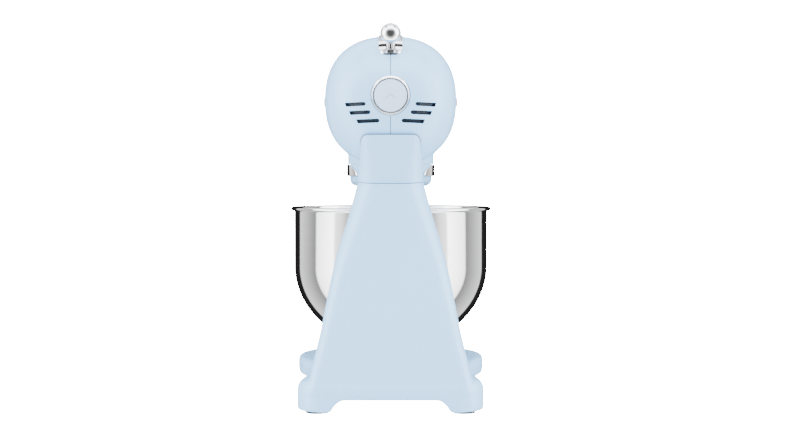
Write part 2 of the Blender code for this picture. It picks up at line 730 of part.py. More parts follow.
def make_lock():
    """Pawl that the button rocks clear of the keeper, with its pin and spring."""
    pivot = PAWL_PIVOT
    nose_angle = math.radians(50)
    nose = PIVOT + Vector((0, math.sin(nose_angle), -math.cos(nose_angle))) * (KEEPER_R + 1.4 * MM)
    top_z = BUTTON_Z + 4 * MM
    outline = [(nose.y - 1.6 * MM, nose.z - 0.3 * MM), (nose.y - 1.2 * MM, nose.z - 7 * MM),
               (pivot.y - 6 * MM, pivot.z - 6.5 * MM), (pivot.y + 4 * MM, pivot.z - 6 * MM),
               (pivot.y + 6.5 * MM, pivot.z), (pivot.y + 5 * MM, top_z), (pivot.y, top_z),
               (pivot.y - 4 * MM, pivot.z + 7 * MM), (pivot.y - 9 * MM, pivot.z - 0.5 * MM),
               (nose.y + 2.6 * MM, nose.z - 1.2 * MM)]
    pawl = slab("lock_pawl", outline, "X", -2.8 * MM, 2.8 * MM, "gear_steel")
    cut(pawl, rod("bore", pivot, "X", 2.5 * MM + RUN, -0.01, 0.01, segments=20))
    rod("pawl_pin", pivot, "X", 2.5 * MM, -27.5 * MM, 27.5 * MM, "shaft_steel", 16)
    turns = 2.5
    steps = int(10 * turns)
    wire = 0.6 * MM
    rings = []
    for k in range(steps + 1):
        angle = FULL * k / 10
        out = Vector((0, math.cos(angle), math.sin(angle)))
        centre = pivot + out * 4.2 * MM + Vector((4.5 * MM + 1.6 * MM * k / 10, 0, 0))
        side = Vector((1, 0, 0))
        rings.append([centre + (out * math.cos(a) + side * math.sin(a)) * wire
                      for a in (FULL * m / 5 for m in range(5))])
    loft("pawl_spring", rings, "shaft_steel")
    return pawl


# ---------------------------------------------------------------- head shells and trim
def make_shells():
    """Left and right painted shells, split at X = 0."""
    shells = []
    collar_top = PIVOT.z - 30 * MM
    for side, word in ((-1, "left"), (1, "right")):
        shell = head_solid("head_shell_" + word, 0)
        join(shell, rod("collar", SPINDLE, "Z", CHIN_R, BAND_TOP_Z + GAP, collar_top, segments=36))
        near = side * SEAM
        far = side * 2 * HEAD_HALF_WIDTH
        keep(shell, box("half", (min(near, far), -1, 0), (max(near, far), 1, 1)))
        cut(shell, head_solid("inside", -HEAD_WALL))
        cut(shell, rod("bore", SPINDLE, "Z", CHIN_R - CHIN_WALL, 0.1, collar_top - MM, segments=36))
        cut(shell, rod("recess", SPINDLE, "Z", CHIN_R + BAND_THICK + GAP, 0.1, BAND_TOP_Z + GAP, segments=36))
        cut(shell, rod("ring_hole", (0, 0, BUTTON_Z), "Y", RING_R + GAP, PIVOT.y + 20 * MM, 1, segments=28))
        cut(shell, rod("hub_hole", (0, 0, DRIVE_Z), "Y", HUB_R + GAP, -1, NOSE_Y + 20 * MM, segments=28))
        cut(shell, stem_slot("slot", STEM_R + SLOT_CLEAR,
                             HEAD_HALF_HEIGHT - 12 * MM, HEAD_HALF_HEIGHT + 9 * MM))
        ear = math.asin(11 * MM / (HEAD_HALF_HEIGHT - HEAD_WALL)) + math.radians(2)
        cut(shell, dome_slot("ear_slot", EAR_OUT + 1.5 * MM, math.pi - TILT_MAX - ear, math.pi + ear,
                             HEAD_HALF_HEIGHT - 14 * MM, HEAD_HALF_HEIGHT + 9 * MM))
        for drop, inner, outer in VENT_ROWS:
            centre_z = PIVOT.z + drop * MM
            a = side * inner * MM
            b = side * outer * MM
            low = (min(a, b), PIVOT.y + 15 * MM, centre_z - VENT_HALF_HEIGHT)
            cut(shell, box("vent", low, (max(a, b), 1, centre_z + VENT_HALF_HEIGHT)))
        shell.data.materials.append(MATERIALS["blue_paint"])
        shells.append(shell)
    return shells


HUB_R = 32 * MM


def make_trim():
    """Speed plate, side strips, vent baffles and the rings on the head."""
    plate = head_solid("speed_plate", PLATE_PROUD, count=40)
    angle_high = LEVER_ANGLE + PLATE_TAIL
    outline = [(PLATE_FRONT_Y, PIVOT.z + 0.04), (PLATE_FRONT_Y, PIVOT.z + 0.1), (PIVOT.y, PIVOT.z + 0.1)]
    outline += [(PIVOT.y + 0.1 * math.sin(a), PIVOT.z + 0.1 * math.cos(a))
                for a in (angle_high * k / 4 for k in range(1, 5))]
    outline += [(PIVOT.y + 0.05 * math.sin(angle_high), PIVOT.z + 0.05 * math.cos(angle_high))]
    keep(plate, slab("blank", outline, "X", -PLATE_HALF_WIDTH, PLATE_HALF_WIDTH))
    cut(plate, head_solid("under", GAP, count=40))
    cut(plate, stem_slot("slot", STEM_R + SLOT_CLEAR, HEAD_HALF_HEIGHT - 12 * MM, HEAD_HALF_HEIGHT + 9 * MM))
    plate.data.materials.append(MATERIALS["chrome"])
    pieces = [plate]
    for side, word in ((-1, "left"), (1, "right")):
        half = 4.5 * MM
        reach = 62 * MM
        middle_y = 28 * MM
        outline = arc((middle_y + reach, PIVOT.z), half, -math.pi / 2, math.pi / 2, 6)
        outline += arc((middle_y - reach, PIVOT.z), half, math.pi / 2, 3 * math.pi / 2, 6)
        strip = slab("side_trim_" + word, outline, "X", side * 0.03, side * (HEAD_HALF_WIDTH + 2.3 * MM))
        cut(strip, head_solid("body", GAP))
        strip.data.materials.append(MATERIALS["chrome"])
        baffle = head_solid("vent_baffle_" + word, -HEAD_WALL - GAP)
        near = side * 9 * MM
        far = side * 47 * MM
        keep(baffle, box("blank", (min(near, far), PIVOT.y + 12 * MM, PIVOT.z - 25.5 * MM),
                         (max(near, far), 1, PIVOT.z - 2 * MM)))
        cut(baffle, head_solid("under", -HEAD_WALL - GAP - 1.2 * MM))
        cut(baffle, rod("ring", (0, 0, BUTTON_Z), "Y", RING_R + 2 * MM, 0, 1, segments=24))
        baffle.data.materials.append(MATERIALS["black_plastic"])
        pieces += [strip, baffle]
    ring = head_solid("button_ring", RING_PROUD, count=40)
    sleeve = ((BUTTON_R + 0.5 * MM, PIVOT.y + 40 * MM), (RING_R, PIVOT.y + 40 * MM),
              (RING_R, PIVOT.y + 0.1), (BUTTON_R + 0.5 * MM, PIVOT.y + 0.1))
    keep(ring, turned("sleeve", sleeve, None, (0, 0, BUTTON_Z), "Y", 32))
    cut(ring, box("depth", (-0.1, 0, 0.1), (0.1, PIVOT.y + HEAD_HALF_HEIGHT - 9 * MM, 0.5)))
    ring.data.materials.append(MATERIALS["chrome"])
    pieces.append(ring)
    rim = ((HUB_R - 4 * MM, NOSE_Y + 9 * MM), (HUB_R, NOSE_Y + 9 * MM), (HUB_R, NOSE_Y - 1 * MM),
           (HUB_R - 1.5 * MM, NOSE_Y - 2.5 * MM), (HUB_R - 4 * MM, NOSE_Y - 1 * MM))
    pieces.append(turned("hub_ring", rim, "chrome", (0, 0, DRIVE_Z), "Y", 32))
    return pieces


def make_hub_cover():
    """Domed cap that pulls off the front hub."""
    radius = HUB_R - 4 * MM - 0.5 * MM
    profile = ((radius, NOSE_Y + 5 * MM), (radius, NOSE_Y), (radius * 0.8, NOSE_Y - 1.6 * MM),
               (radius * 0.4, NOSE_Y - 2.3 * MM))
    return turned_solid("hub_cover", profile, "blue_paint", (0, 0, DRIVE_Z), "Y", 32)


def make_chin():
    """Planetary housing and its chrome band."""
    low_z = CHIN_BOTTOM_Z
    band_low = BAND_TOP_Z - BAND_HEIGHT
    inner = CHIN_R - 5.5 * MM
    seat = CHIN_R - GAP - BAND_THICK + 0.7 * MM
    web = BAND_TOP_Z - 1.7 * MM
    bend = arc((CHIN_LOW_R - CHIN_ROUND, low_z + CHIN_ROUND), CHIN_ROUND, -math.pi / 2, 0, 4)
    lip = CHIN_LOW_R - CHIN_ROUND - 0.7 * MM
    profile = [(lip, low_z), *bend, (CHIN_LOW_R, band_low - GAP), (seat, band_low - GAP), (seat, BAND_TOP_Z),
               (CHIN_R - CHIN_WALL - GAP, BAND_TOP_Z), (CHIN_R - CHIN_WALL - GAP, web + 4 * MM),
               (19.5 * MM, web + 4 * MM), (19.5 * MM, web), (inner, web),
               (inner, low_z + 9 * MM), (lip, low_z + 9 * MM)]
    housing = turned("planetary_housing", profile, "blue_paint", SPINDLE, "Z", 36)
    band_inner = seat + GAP
    band_outer = CHIN_R + BAND_THICK
    steps = 24
    rings = []
    for k in range(steps + 1):
        turn = -math.pi / 2 + BAND_WRAP * (2 * k / steps - 1)
        out = Vector((math.cos(turn), math.sin(turn), 0))
        past = max(0.0, abs(turn + math.pi / 2) - BAND_WRAP + BAND_TAIL) / BAND_TAIL
        top = band_low + BAND_HEIGHT * max(0.2, math.sqrt(1 - past ** 2))
        rings.append([SPINDLE + out * r + Vector((0, 0, z)) for r, z in
                      ((band_inner, band_low), (band_outer - 0.4 * MM, band_low), (band_outer, band_low + MM),
                       (band_outer, top - MM), (band_outer - 0.4 * MM, top), (band_inner, top))])
    return [housing, loft("chin_band", rings, "chrome")]


# ---------------------------------------------------------------- chassis and drive
DECK_THICK = 4 * MM
POST_HALF = 3.5 * MM
BEARING_R = 9 * MM
RAIL_Z = DRIVE_Z + 12 * MM
FRONT_PLATE_Y = (6 * MM, 16 * MM)
REAR_PLATE_Y = (97 * MM, 104 * MM)
REAR_POST_Y = SPINDLE_Y + CROWN_PITCH_R + 6 * MM
FRONT_POST_Y = SPINDLE_Y - CROWN_PITCH_R - 6 * MM


def make_chassis():
    """Cast chassis: deck, plates, rails and posts with the bearing bores."""
    top = FRAME_Z + DECK_THICK
    frame = box("gearbox_frame", (-26 * MM, FRONT_POST_Y - POST_HALF, FRAME_Z),
                (26 * MM, REAR_PLATE_Y[1], top), "cast_aluminium")
    cut(frame, box("nose_left", (-0.1, -1, 0), (-13 * MM, SPINDLE_Y - 20 * MM, 1)))
    cut(frame, box("nose_right", (13 * MM, -1, 0), (0.1, SPINDLE_Y - 20 * MM, 1)))
    plates = (FRONT_PLATE_Y, REAR_PLATE_Y)
    for low, high in plates:
        join(frame, box("plate", (-27 * MM, low, FRAME_Z + MM), (27 * MM, high, MOTOR_Z + 13 * MM)))
    for side in (-1, 1):
        def pair(a, b):
            return min(side * a, side * b), max(side * a, side * b)
        low_x, high_x = pair(22 * MM, 26 * MM)
        join(frame, box("wall", (low_x, 8 * MM, FRAME_Z + MM), (high_x, 100 * MM, FRAME_Z + 38 * MM)))
        low_x, high_x = pair(24 * MM, 35 * MM)
        join(frame, box("wing", (low_x, 8 * MM, RAIL_Z), (high_x, 14 * MM, RAIL_Z + 10 * MM)))
        low_x, high_x = pair(29 * MM, 35 * MM)
        join(frame, box("rail", (low_x, SPINDLE_Y - 10 * MM, RAIL_Z), (high_x, 13 * MM, RAIL_Z + 10 * MM)))
        low_x, high_x = pair(20.5 * MM, 27 * MM)
        arm = box("arm", (low_x, 100 * MM, PAWL_PIVOT.z - 7 * MM),
                  (high_x, PAWL_PIVOT.y + 7 * MM, PIVOT.z + 12 * MM))
        join(frame, arm)
    join(frame, box("bridge", (-33 * MM, SPINDLE_Y - 10 * MM, RAIL_Z),
                    (33 * MM, SPINDLE_Y + 10 * MM, RAIL_Z + 10 * MM)))
    join(frame, rod("boss", SPINDLE, "Z", 17 * MM, RAIL_Z - 0.5 * MM, RAIL_Z + 10.5 * MM, segments=24))
    for middle in (REAR_POST_Y, FRONT_POST_Y):
        join(frame, box("post", (-12 * MM, middle - POST_HALF, FRAME_Z + MM),
                        (12 * MM, middle + POST_HALF, DRIVE_Z + 13 * MM)))
        cut(frame, rod("bore", (0, 0, DRIVE_Z), "Y", BEARING_R + 0.1 * MM,
                       middle - 5 * MM, middle + 5 * MM, segments=16))
    join(frame, rod("lower_boss", SPINDLE, "Z", 19 * MM, FRAME_Z - 4 * MM, top + 3 * MM, segments=20))
    cut(frame, rod("lower_bore", SPINDLE, "Z", 15 * MM + 0.1 * MM, 0, top + 10 * MM, segments=16))
    cut(frame, rod("upper_bore", SPINDLE, "Z", 13 * MM + 0.1 * MM, RAIL_Z - 5 * MM, 1, segments=16))
    for low, high in plates:
        cut(frame, rod("motor_bore", (0, 0, MOTOR_Z), "Y", BEARING_R + 0.1 * MM,
                       low - MM, high + MM, segments=16))
    cut(frame, rod("counter_bore", (0, 0, DRIVE_Z), "Y", 4.4 * MM,
                   FRONT_PLATE_Y[0] - MM, FRONT_PLATE_Y[1] + MM, segments=12))
    cut(frame, rod("tilt_bore", PIVOT, "X", SHAFT_R + RUN, -0.05, 0.05, segments=24))
    cut(frame, rod("pin_bore", PAWL_PIVOT, "X", 2.5 * MM + 0.1 * MM, -0.05, 0.05, segments=16))
    return frame


def bearing(name, centre, axis, bore, outer, low, high):
    """A ring that stands for one ball bearing."""
    profile = ((bore, low), (outer, low), (outer, high), (bore, high))
    return turned(name, profile, "shaft_steel", centre, axis, 16)


def make_bearings():
    """Bearings of the motor, countershaft, main shaft and hub drive."""
    motor = (0, 0, MOTOR_Z)
    drive = (0, 0, DRIVE_Z)
    bore = 4 * MM + RUN
    middle = 7 * MM + RUN
    half = POST_HALF - 0.2 * MM
    return [
        bearing("motor_bearing_rear", motor, "Y", bore, BEARING_R, REAR_PLATE_Y[0], REAR_PLATE_Y[1]),
        bearing("motor_bearing_front", motor, "Y", bore, BEARING_R, 7 * MM, 15 * MM),
        bearing("countershaft_bearing", drive, "Y", bore, BEARING_R, REAR_POST_Y - half, REAR_POST_Y + half),
        bearing("hub_bearing", drive, "Y", bore, BEARING_R, FRONT_POST_Y - half, FRONT_POST_Y + half),
        bearing("main_bearing_lower", SPINDLE, "Z", middle, 15 * MM, FRAME_Z - 3 * MM, FRAME_Z + 6 * MM),
        bearing("main_bearing_upper", SPINDLE, "Z", middle, 13 * MM, RAIL_Z + MM, RAIL_Z + 9 * MM),
    ]


def make_motor():
    """Stator, and the rotor with its shaft, pinion, commutator and fan."""
    centre = (0, 0, MOTOR_Z)
    stator = turned("motor_stator", ((24 * MM, 40 * MM), (38 * MM, 40 * MM), (38 * MM, 82 * MM),
                                     (24 * MM, 82 * MM)), "lamination", centre, "Y", 24)
    shaft = rod("motor_shaft", centre, "Y", 4 * MM, -7 * MM, REAR_PLATE_Y[1] + MM, "shaft_steel", 16)
    teeth = gear_outline(MOTOR_TEETH, GEAR_MODULE, math.pi + math.pi / MOTOR_TEETH)
    join(shaft, spur_gear("pinion", centre, "Y", -8 * MM, 3 * MM, teeth, None))
    bore = 4 * MM + GAP
    core = turned("rotor_core",
                  ((bore, 40 * MM), (22.5 * MM, 40 * MM), (22.5 * MM, 82 * MM), (bore, 82 * MM)),
                  "copper", centre, "Y", 20)
    commutator = turned("commutator",
                        ((bore, 83 * MM), (11 * MM, 83 * MM), (11 * MM, 94 * MM), (bore, 94 * MM)),
                        "copper", centre, "Y", 16)
    fan = turned("cooling_fan", ((bore, 19 * MM), (10 * MM, 19 * MM), (10 * MM, 21 * MM), (33 * MM, 21 * MM),
                                 (33 * MM, 22.5 * MM), (10 * MM, 22.5 * MM),
                                 (10 * MM, 34 * MM), (bore, 34 * MM)),
                 "black_plastic", centre, "Y", 20)
    blades = 6
    for k in range(blades):
        turn = FULL * k / blades
        blade = box("blade", (-1 * MM, 22 * MM, 8 * MM), (1 * MM, 33 * MM, 32 * MM))
        blade.data.transform(Matrix.Translation(centre) @ Matrix.Rotation(turn, 4, "Y"))
        join(fan, blade)
    return stator, [shaft, core, commutator, fan]


def make_countershaft():
    """Reduction gear, and the countershaft with its bevel pinion."""
    centre = (0, 0, DRIVE_Z)
    apex = Vector((0, SPINDLE_Y, DRIVE_Z))
    wheel = spur_gear("reduction_gear", centre, "Y", -8 * MM, 3 * MM,
                      gear_outline(WHEEL_TEETH, GEAR_MODULE, 0), "gear_steel", 4 * MM + GAP)
    down = Vector((0, 0, -1))
    counter = bevel_gear("countershaft", apex, Vector((0, 1, 0)), down, BEVEL_TEETH, CROWN_TEETH, 0,
                         3.5 * MM, 0.5 * MM, "gear_steel")
    start = apex.y + 22.4 * MM
    join(counter, rod("shaft", centre, "Y", 4 * MM, start, FRONT_PLATE_Y[1] - 2 * MM, segments=16))
    hub = bevel_gear("hub_drive", apex, Vector((0, -1, 0)), down, BEVEL_TEETH, CROWN_TEETH, 0,
                     3.5 * MM, 0.5 * MM, "gear_steel")
    socket_y = NOSE_Y + 9 * MM
    join(hub, rod("shaft", centre, "Y", 4 * MM, socket_y + 6 * MM, apex.y - 22.4 * MM, segments=16))
    join(hub, rod("socket", centre, "Y", 9.5 * MM, socket_y, socket_y + 18 * MM, segments=24))
    square = 4.5 * MM
    cut(hub, box("square", (-square, socket_y - MM, DRIVE_Z - square),
                 (square, socket_y + 12 * MM, DRIVE_Z + square)))
    return [counter, wheel], hub


def make_carrier():
    """Main shaft, crown gear and the planetary cover that carries the beater shaft."""
    apex = Vector((0, SPINDLE_Y, DRIVE_Z))
    disc_low = CHIN_BOTTOM_Z + MM
    disc_high = disc_low + 9 * MM
    shaft = rod("main_shaft", SPINDLE, "Z", 7 * MM, disc_low + 2 * MM, RAIL_Z + 9 * MM, "shaft_steel", 24)
    phase = math.pi / CROWN_TEETH
    crown = bevel_gear("crown_gear", apex, Vector((0, 0, -1)), Vector((0, 1, 0)), CROWN_TEETH, BEVEL_TEETH,
                       phase, 7 * MM + GAP, 5 * MM, "gear_steel")
    flange = CHIN_R - 5.5 * MM - 0.8 * MM
    radius = CHIN_LOW_R - CHIN_ROUND - 1.5 * MM
    profile = ((7 * MM + GAP, disc_low + 2 * MM), (12 * MM, disc_low), (radius - 2 * MM, disc_low),
               (radius, disc_low + 2 * MM), (radius, disc_high), (flange, disc_high),
               (flange, disc_high + 2.5 * MM), (14 * MM, disc_high + 2.5 * MM),
               (14 * MM, disc_high + 6 * MM), (7 * MM + GAP, disc_high + 6 * MM))
    cover = turned("planetary_cover", profile, "chrome", SPINDLE, "Z", 32)
    spot = SPINDLE + Vector((0, BEATER_OFFSET, 0))
    cut(cover, rod("bore", spot, "Z", 5 * MM + RUN, 0.1, 0.4, segments=20))
    return [shaft, crown, cover]


RING_LOW = CHIN_BOTTOM_Z + 13 * MM
RING_HIGH = CHIN_BOTTOM_Z + 20.5 * MM


def make_ring_gear():
    """Fixed internal gear inside the planetary housing."""
    outer = CHIN_R - 5.5 * MM - GAP
    gear = rod("ring_gear", SPINDLE, "Z", outer, RING_LOW, RING_HIGH, "gear_steel", 32)
    phase = math.pi / 2 + math.pi / RING_TEETH
    outline = gear_outline(RING_TEETH, GEAR_MODULE, phase, internal=True)
    cut(gear, spur_gear("teeth", SPINDLE, "Z", RING_LOW - MM, RING_HIGH + MM, outline, None))
    return gear


def bowl_radius(z, shrink):
    """Radius of the bowl's wall at height z, inside by shrink."""
    drop = max(0.0, BOWL_CURVE_Z - z) / (BOWL_CURVE_DEPTH - shrink)
    return (BOWL_BODY_R - shrink) * math.sqrt(max(0.0, 1 - drop ** 2))


def make_beater():
    """Beater shaft with its drive pin, planet pinion and flat beater."""
    spot = SPINDLE + Vector((0, BEATER_OFFSET, 0))
    low = CHIN_BOTTOM_Z - 14 * MM
    shaft = rod("beater_shaft", spot, "Z", 5 * MM, low, RING_HIGH, "shaft_steel", 20)
    pin_z = CHIN_BOTTOM_Z - 6 * MM
    join(shaft, rod("pin", spot + Vector((0, 0, pin_z)), "X", 1.5 * MM, -10 * MM, 10 * MM, segments=10))
    planet = spur_gear("planet_pinion", spot, "Z", RING_LOW, RING_HIGH,
                       gear_outline(PLANET_TEETH, GEAR_MODULE, math.pi / 2), "gear_steel", 5 * MM + GAP)
    wall = BOWL_WALL + BEATER_CLEAR
    floor_z = BOWL_FLOOR_Z + wall
    top_z = CHIN_BOTTOM_Z - 34 * MM
    widest = top_z - 34 * MM
    side = []
    steps = 9
    for k in range(steps + 1):
        z = floor_z + (widest - floor_z) * (k / steps) ** 1.4
        side.append((max(14 * MM, bowl_radius(z, wall) - BEATER_OFFSET), z))
    shoulder = (side[-1][0] * 0.82, top_z - 8 * MM)
    side += [shoulder, (side[-1][0] * 0.35, top_z), (9 * MM, top_z + 2 * MM)]
    outline = side + [(-x, z) for x, z in side[::-1]]
    beater = loft("flat_beater", [[(spot.x + x, spot.y + y, z) for x, z in outline]
                                  for y in (BEATER_HALF_THICK, -BEATER_HALF_THICK)])
    bars = (floor_z + BEATER_BAR, (floor_z + top_z) / 2 - 12 * MM, (floor_z + top_z) / 2 + 22 * MM,
            top_z - BEATER_BAR)
    for sign in (-1, 1):
        for low_z, high_z in zip(bars, bars[1:]):
            levels = [low_z + BEATER_BAR / 2 + (high_z - low_z - BEATER_BAR) * k / 3 for k in range(4)]
            edge = [(max(9 * MM, edge_at(side, z) - BEATER_BAR), z) for z in levels]
            window = [(sign * BEATER_BAR / 2, levels[0])] + [(sign * x, z) for x, z in edge]
            window += [(sign * BEATER_BAR / 2, levels[-1])]
            if min(x for x, z in edge) > BEATER_BAR:
                cut(beater, loft("window", [[(x, spot.y + y, z) for x, z in window]
                                            for y in (-0.02, 0.02)]))
    join(beater, rod("hub", spot, "Z", 9 * MM, top_z - 6 * MM, CHIN_BOTTOM_Z - 8.5 * MM, segments=24))
    cut(beater, rod("socket", spot, "Z", 5 * MM + GAP, low - 0.5 * MM, 1, segments=20))
    beater.data.materials.append(MATERIALS["beater_grey"])
    return [shaft, planet, beater]


def edge_at(side, z):
    """Half-width of an outline of (half-width, z) points at height z."""
    for (xa, za), (xb, zb) in zip(side, side[1:]):
        if za <= z <= zb:
            return xa + (xb - xa) * (z - za) / (zb - za)
    return side[-1][0]


def make_board():
    """Speed control board on the left of the dome."""
    x = -(HEAD_HALF_WIDTH - 23 * MM)
    board = box("control_board", (x - 1.6 * MM, PIVOT.y - 6 * MM, PIVOT.z - 20 * MM),
                (x, PIVOT.y + 32 * MM, PIVOT.z + 28 * MM), "board_green")
    for y, z, size in ((4, 8, 9), (20, -6, 6), (18, 16, 5)):
        low = (x - MM, PIVOT.y + (y - size) * MM, PIVOT.z + (z - size) * MM)
        join(board, box("chip", low, (x + size * MM, PIVOT.y + (y + 2) * MM, PIVOT.z + (z + 2) * MM)))
    return board


# ---------------------------------------------------------------- controls
def make_lever():
    """Speed lever on the tilt shaft, with its ball knob."""
    rings_low = 4.2 * MM
    lever = rod("speed_lever", PIVOT, "X", 10 * MM, rings_low, 9.6 * MM, "chrome", 24)
    arm = box("arm", (4.2 * MM, PIVOT.y - 4 * MM, PIVOT.z + 5 * MM),
              (8 * MM, PIVOT.y + 4 * MM, PIVOT.z + 56 * MM))
    foot = box("foot", (-4.4 * MM, PIVOT.y - 4.4 * MM, PIVOT.z + 50 * MM),
               (7.7 * MM, PIVOT.y + 4.4 * MM, PIVOT.z + 56.5 * MM))
    stem = rod("stem", PIVOT, "Z", STEM_R, 54 * MM, BALL_REACH - 4.6 * MM, segments=20)
    for tool in (arm, foot, stem):
        join(lever, tool)
    cut(lever, rod("bore", PIVOT, "X", SHAFT_R + RUN, 0, 0.03, segments=24))
    knob_centre = PIVOT + Vector((0, 0, BALL_REACH))
    bands = 8
    turns = [math.pi * (k + 0.35) / (bands - 0.3) for k in range(bands)]
    profile = [(BALL_R * math.sin(t), -BALL_R * math.cos(t)) for t in turns]
    knob = turned_solid("lever_knob", profile, "chrome", knob_centre, "Z", 20)
    cut(knob, rod("socket", knob_centre, "Z", STEM_R + GAP, -0.03, -4.3 * MM, segments=20))
    turn = Matrix.Translation(PIVOT) @ Matrix.Rotation(-LEVER_ANGLE, 4, "X") @ Matrix.Translation(-PIVOT)
    for piece in (lever, knob):
        piece.data.transform(turn)
    return [lever, knob]


def make_button():
    """Release button: a cap that follows the dome, on a stem that pushes the pawl."""
    cap = head_solid("release_button", -0.3 * MM, count=40)
    keep(cap, rod("blank", (0, 0, BUTTON_Z), "Y", BUTTON_R, PIVOT.y + 40 * MM, 1, segments=32))
    cut(cap, box("back", (-0.1, 0, 0.1), (0.1, PIVOT.y + HEAD_HALF_HEIGHT - 8 * MM, 0.5)))
    tip = PAWL_PIVOT.y + 6.4 * MM
    join(cap, rod("stem", (0, 0, BUTTON_Z), "Y", 4 * MM, tip, PIVOT.y + HEAD_HALF_HEIGHT - 5 * MM))
    cap.data.materials.append(MATERIALS["button_white"])
    return cap


# ---------------------------------------------------------------- bowl
LUG_TURNS = (math.pi / 2, math.pi / 2 + FULL / 3, math.pi / 2 + 2 * FULL / 3)


def sector_lug(name, inner, outer, middle, half_angle, low, high):
    """A curved lug on a ring round the spindle axis."""
    outline = arc((0, SPINDLE_Y), outer, middle - half_angle, middle + half_angle, 4)
    outline += arc((0, SPINDLE_Y), inner, middle + half_angle, middle - half_angle, 4)
    return slab(name, outline, "Z", low, high)


def make_bowl_seat():
    """Bayonet ring on the platform."""
    low = BASE_TOP + GAP
    inner = BOWL_FOOT_R + 5 * MM
    outer = inner + 5 * MM
    profile = ((inner, low), (outer, low), (outer, low + 6 * MM), (outer - 1.5 * MM, low + 7.5 * MM),
               (inner, low + 7.5 * MM))
    seat = turned("bowl_seat", profile, "shaft_steel", SPINDLE, "Z", 32)
    for middle in LUG_TURNS:
        lug = sector_lug("lug", BOWL_FOOT_R + MM, inner + 2 * MM, middle, SEAT_TWIST_LUG / 2,
                         low + 4.5 * MM, low + 7.2 * MM)
        join(seat, lug)
    return seat


def make_bowl():
    """Bowl, its foot ring with bayonet lugs, and the handle at the front."""
    steps = 8
    outer = [(36 * MM, BOWL_FLOOR_Z)]
    inner = [(35.5 * MM, BOWL_FLOOR_Z + BOWL_WALL)]
    for k in range(1, steps + 1):
        angle = math.pi / 2 * (0.17 + 0.83 * k / steps)
        z = BOWL_CURVE_Z - BOWL_CURVE_DEPTH * math.cos(angle)
        if z > BOWL_FLOOR_Z + 1.2 * BOWL_WALL:
            outer.append((bowl_radius(z, 0), z))
            inner.append((bowl_radius(z, BOWL_WALL), z))
    rim = BOWL_RIM_Z
    outer += [(BOWL_BODY_R, rim - 5 * MM), (BOWL_RIM_R - MM, rim - 3.6 * MM), (BOWL_RIM_R, rim - 2.2 * MM),
              (BOWL_RIM_R - 0.8 * MM, rim - 0.4 * MM), (BOWL_RIM_R - 2.4 * MM, rim),
              (BOWL_BODY_R - BOWL_WALL + MM, rim - 1.5 * MM)]
    inner.append((BOWL_BODY_R - BOWL_WALL, rim - 4 * MM))
    bowl = turned_solid("bowl", outer + inner[::-1], "bowl_steel", SPINDLE, "Z", 32)

    foot_low = BASE_TOP + 1.2 * MM
    base_r = BOWL_FOOT_R - 3.5 * MM
    rise = BOWL_CURVE_Z - BOWL_CURVE_DEPTH * math.sqrt(1 - (base_r / BOWL_BODY_R) ** 2)
    profile = ((base_r, foot_low), (BOWL_FOOT_R, foot_low), (BOWL_FOOT_R, rise - 1.2 * MM),
               (base_r, rise - 1.2 * MM))
    foot = turned("bowl_foot", profile, "bowl_steel", SPINDLE, "Z", 32)
    for middle in LUG_TURNS:
        join(foot, sector_lug("lug", BOWL_FOOT_R - MM, BOWL_FOOT_R + 4 * MM, middle, BOWL_TWIST_LUG / 2,
                              foot_low + 0.2 * MM, foot_low + 2.6 * MM))

    root = BOWL_BODY_R + GAP + 0.2 * MM
    thick = 4.5 * MM
    low_z = HANDLE_TOP_Z - HANDLE_HEIGHT
    round_r = 18 * MM
    path_out = [(root, HANDLE_TOP_Z)]
    path_out += arc((HANDLE_REACH - round_r, HANDLE_TOP_Z - round_r), round_r, math.pi / 2, 0, 5)
    path_out += arc((HANDLE_REACH - round_r, low_z + round_r), round_r, 0, -math.pi / 2, 5)
    path_out += [(root, low_z)]
    inner_r = round_r - thick
    path_in = [(root, low_z + thick)]
    path_in += arc((HANDLE_REACH - round_r, low_z + round_r), inner_r, -math.pi / 2, 0, 5)
    path_in += arc((HANDLE_REACH - round_r, HANDLE_TOP_Z - round_r), inner_r, 0, math.pi / 2, 5)
    path_in += [(root, HANDLE_TOP_Z - thick)]
    outline = [(SPINDLE_Y - d, z) for d, z in path_out + path_in]
    handle = slab("bowl_handle", outline, "X", -HANDLE_HALF_WIDTH, HANDLE_HALF_WIDTH, "bowl_steel")
    cut(handle, rod("wall", SPINDLE, "Z", BOWL_BODY_R + GAP, 0.0, BOWL_CURVE_Z + 0.2, segments=96))
    return [bowl, foot, handle]


# ---------------------------------------------------------------- assembly
def build():
    """Make every piece and hang the moving ones on their axes."""
    make_pedestal()
    make_base_cover()
    make_gland()
    make_pads()
    make_neck_cover()
    make_bracket()
    make_tilt()
    make_bowl_seat()

    head = make_shells() + make_trim() + make_chin() + make_bearings()
    head += [make_chassis(), make_ring_gear(), make_board()]
    pawl = make_lock()
    head += [bpy.data.objects["pawl_pin"], bpy.data.objects["pawl_spring"]]
    stator, rotor = make_motor()
    head.append(stator)
    counter, hub = make_countershaft()

    body("head", PIVOT)
    body("speed_lever", PIVOT)
    body("release_button", (0, PIVOT.y, BUTTON_Z))
    body("lock_pawl", PAWL_PIVOT)
    body("motor", (0, 0, MOTOR_Z))
    body("countershaft", (0, 0, DRIVE_Z))
    body("hub_drive", (0, 0, DRIVE_Z))
    body("hub_cover", (0, NOSE_Y, DRIVE_Z))
    body("planetary", SPINDLE + Vector((0, 0, DRIVE_Z)))
    body("beater", SPINDLE + Vector((0, BEATER_OFFSET, CHIN_BOTTOM_Z)))
    body("bowl", SPINDLE)

    ride(head, "head")
    ride(make_lever(), "speed_lever")
    ride([make_button()], "release_button")
    ride([pawl], "lock_pawl")
    ride(rotor, "motor")
    ride(counter, "countershaft")
    ride([hub], "hub_drive")
    ride([make_hub_cover()], "hub_cover")
    ride(make_carrier(), "planetary")
    ride(make_beater(), "beater")
    ride(make_bowl(), "bowl")


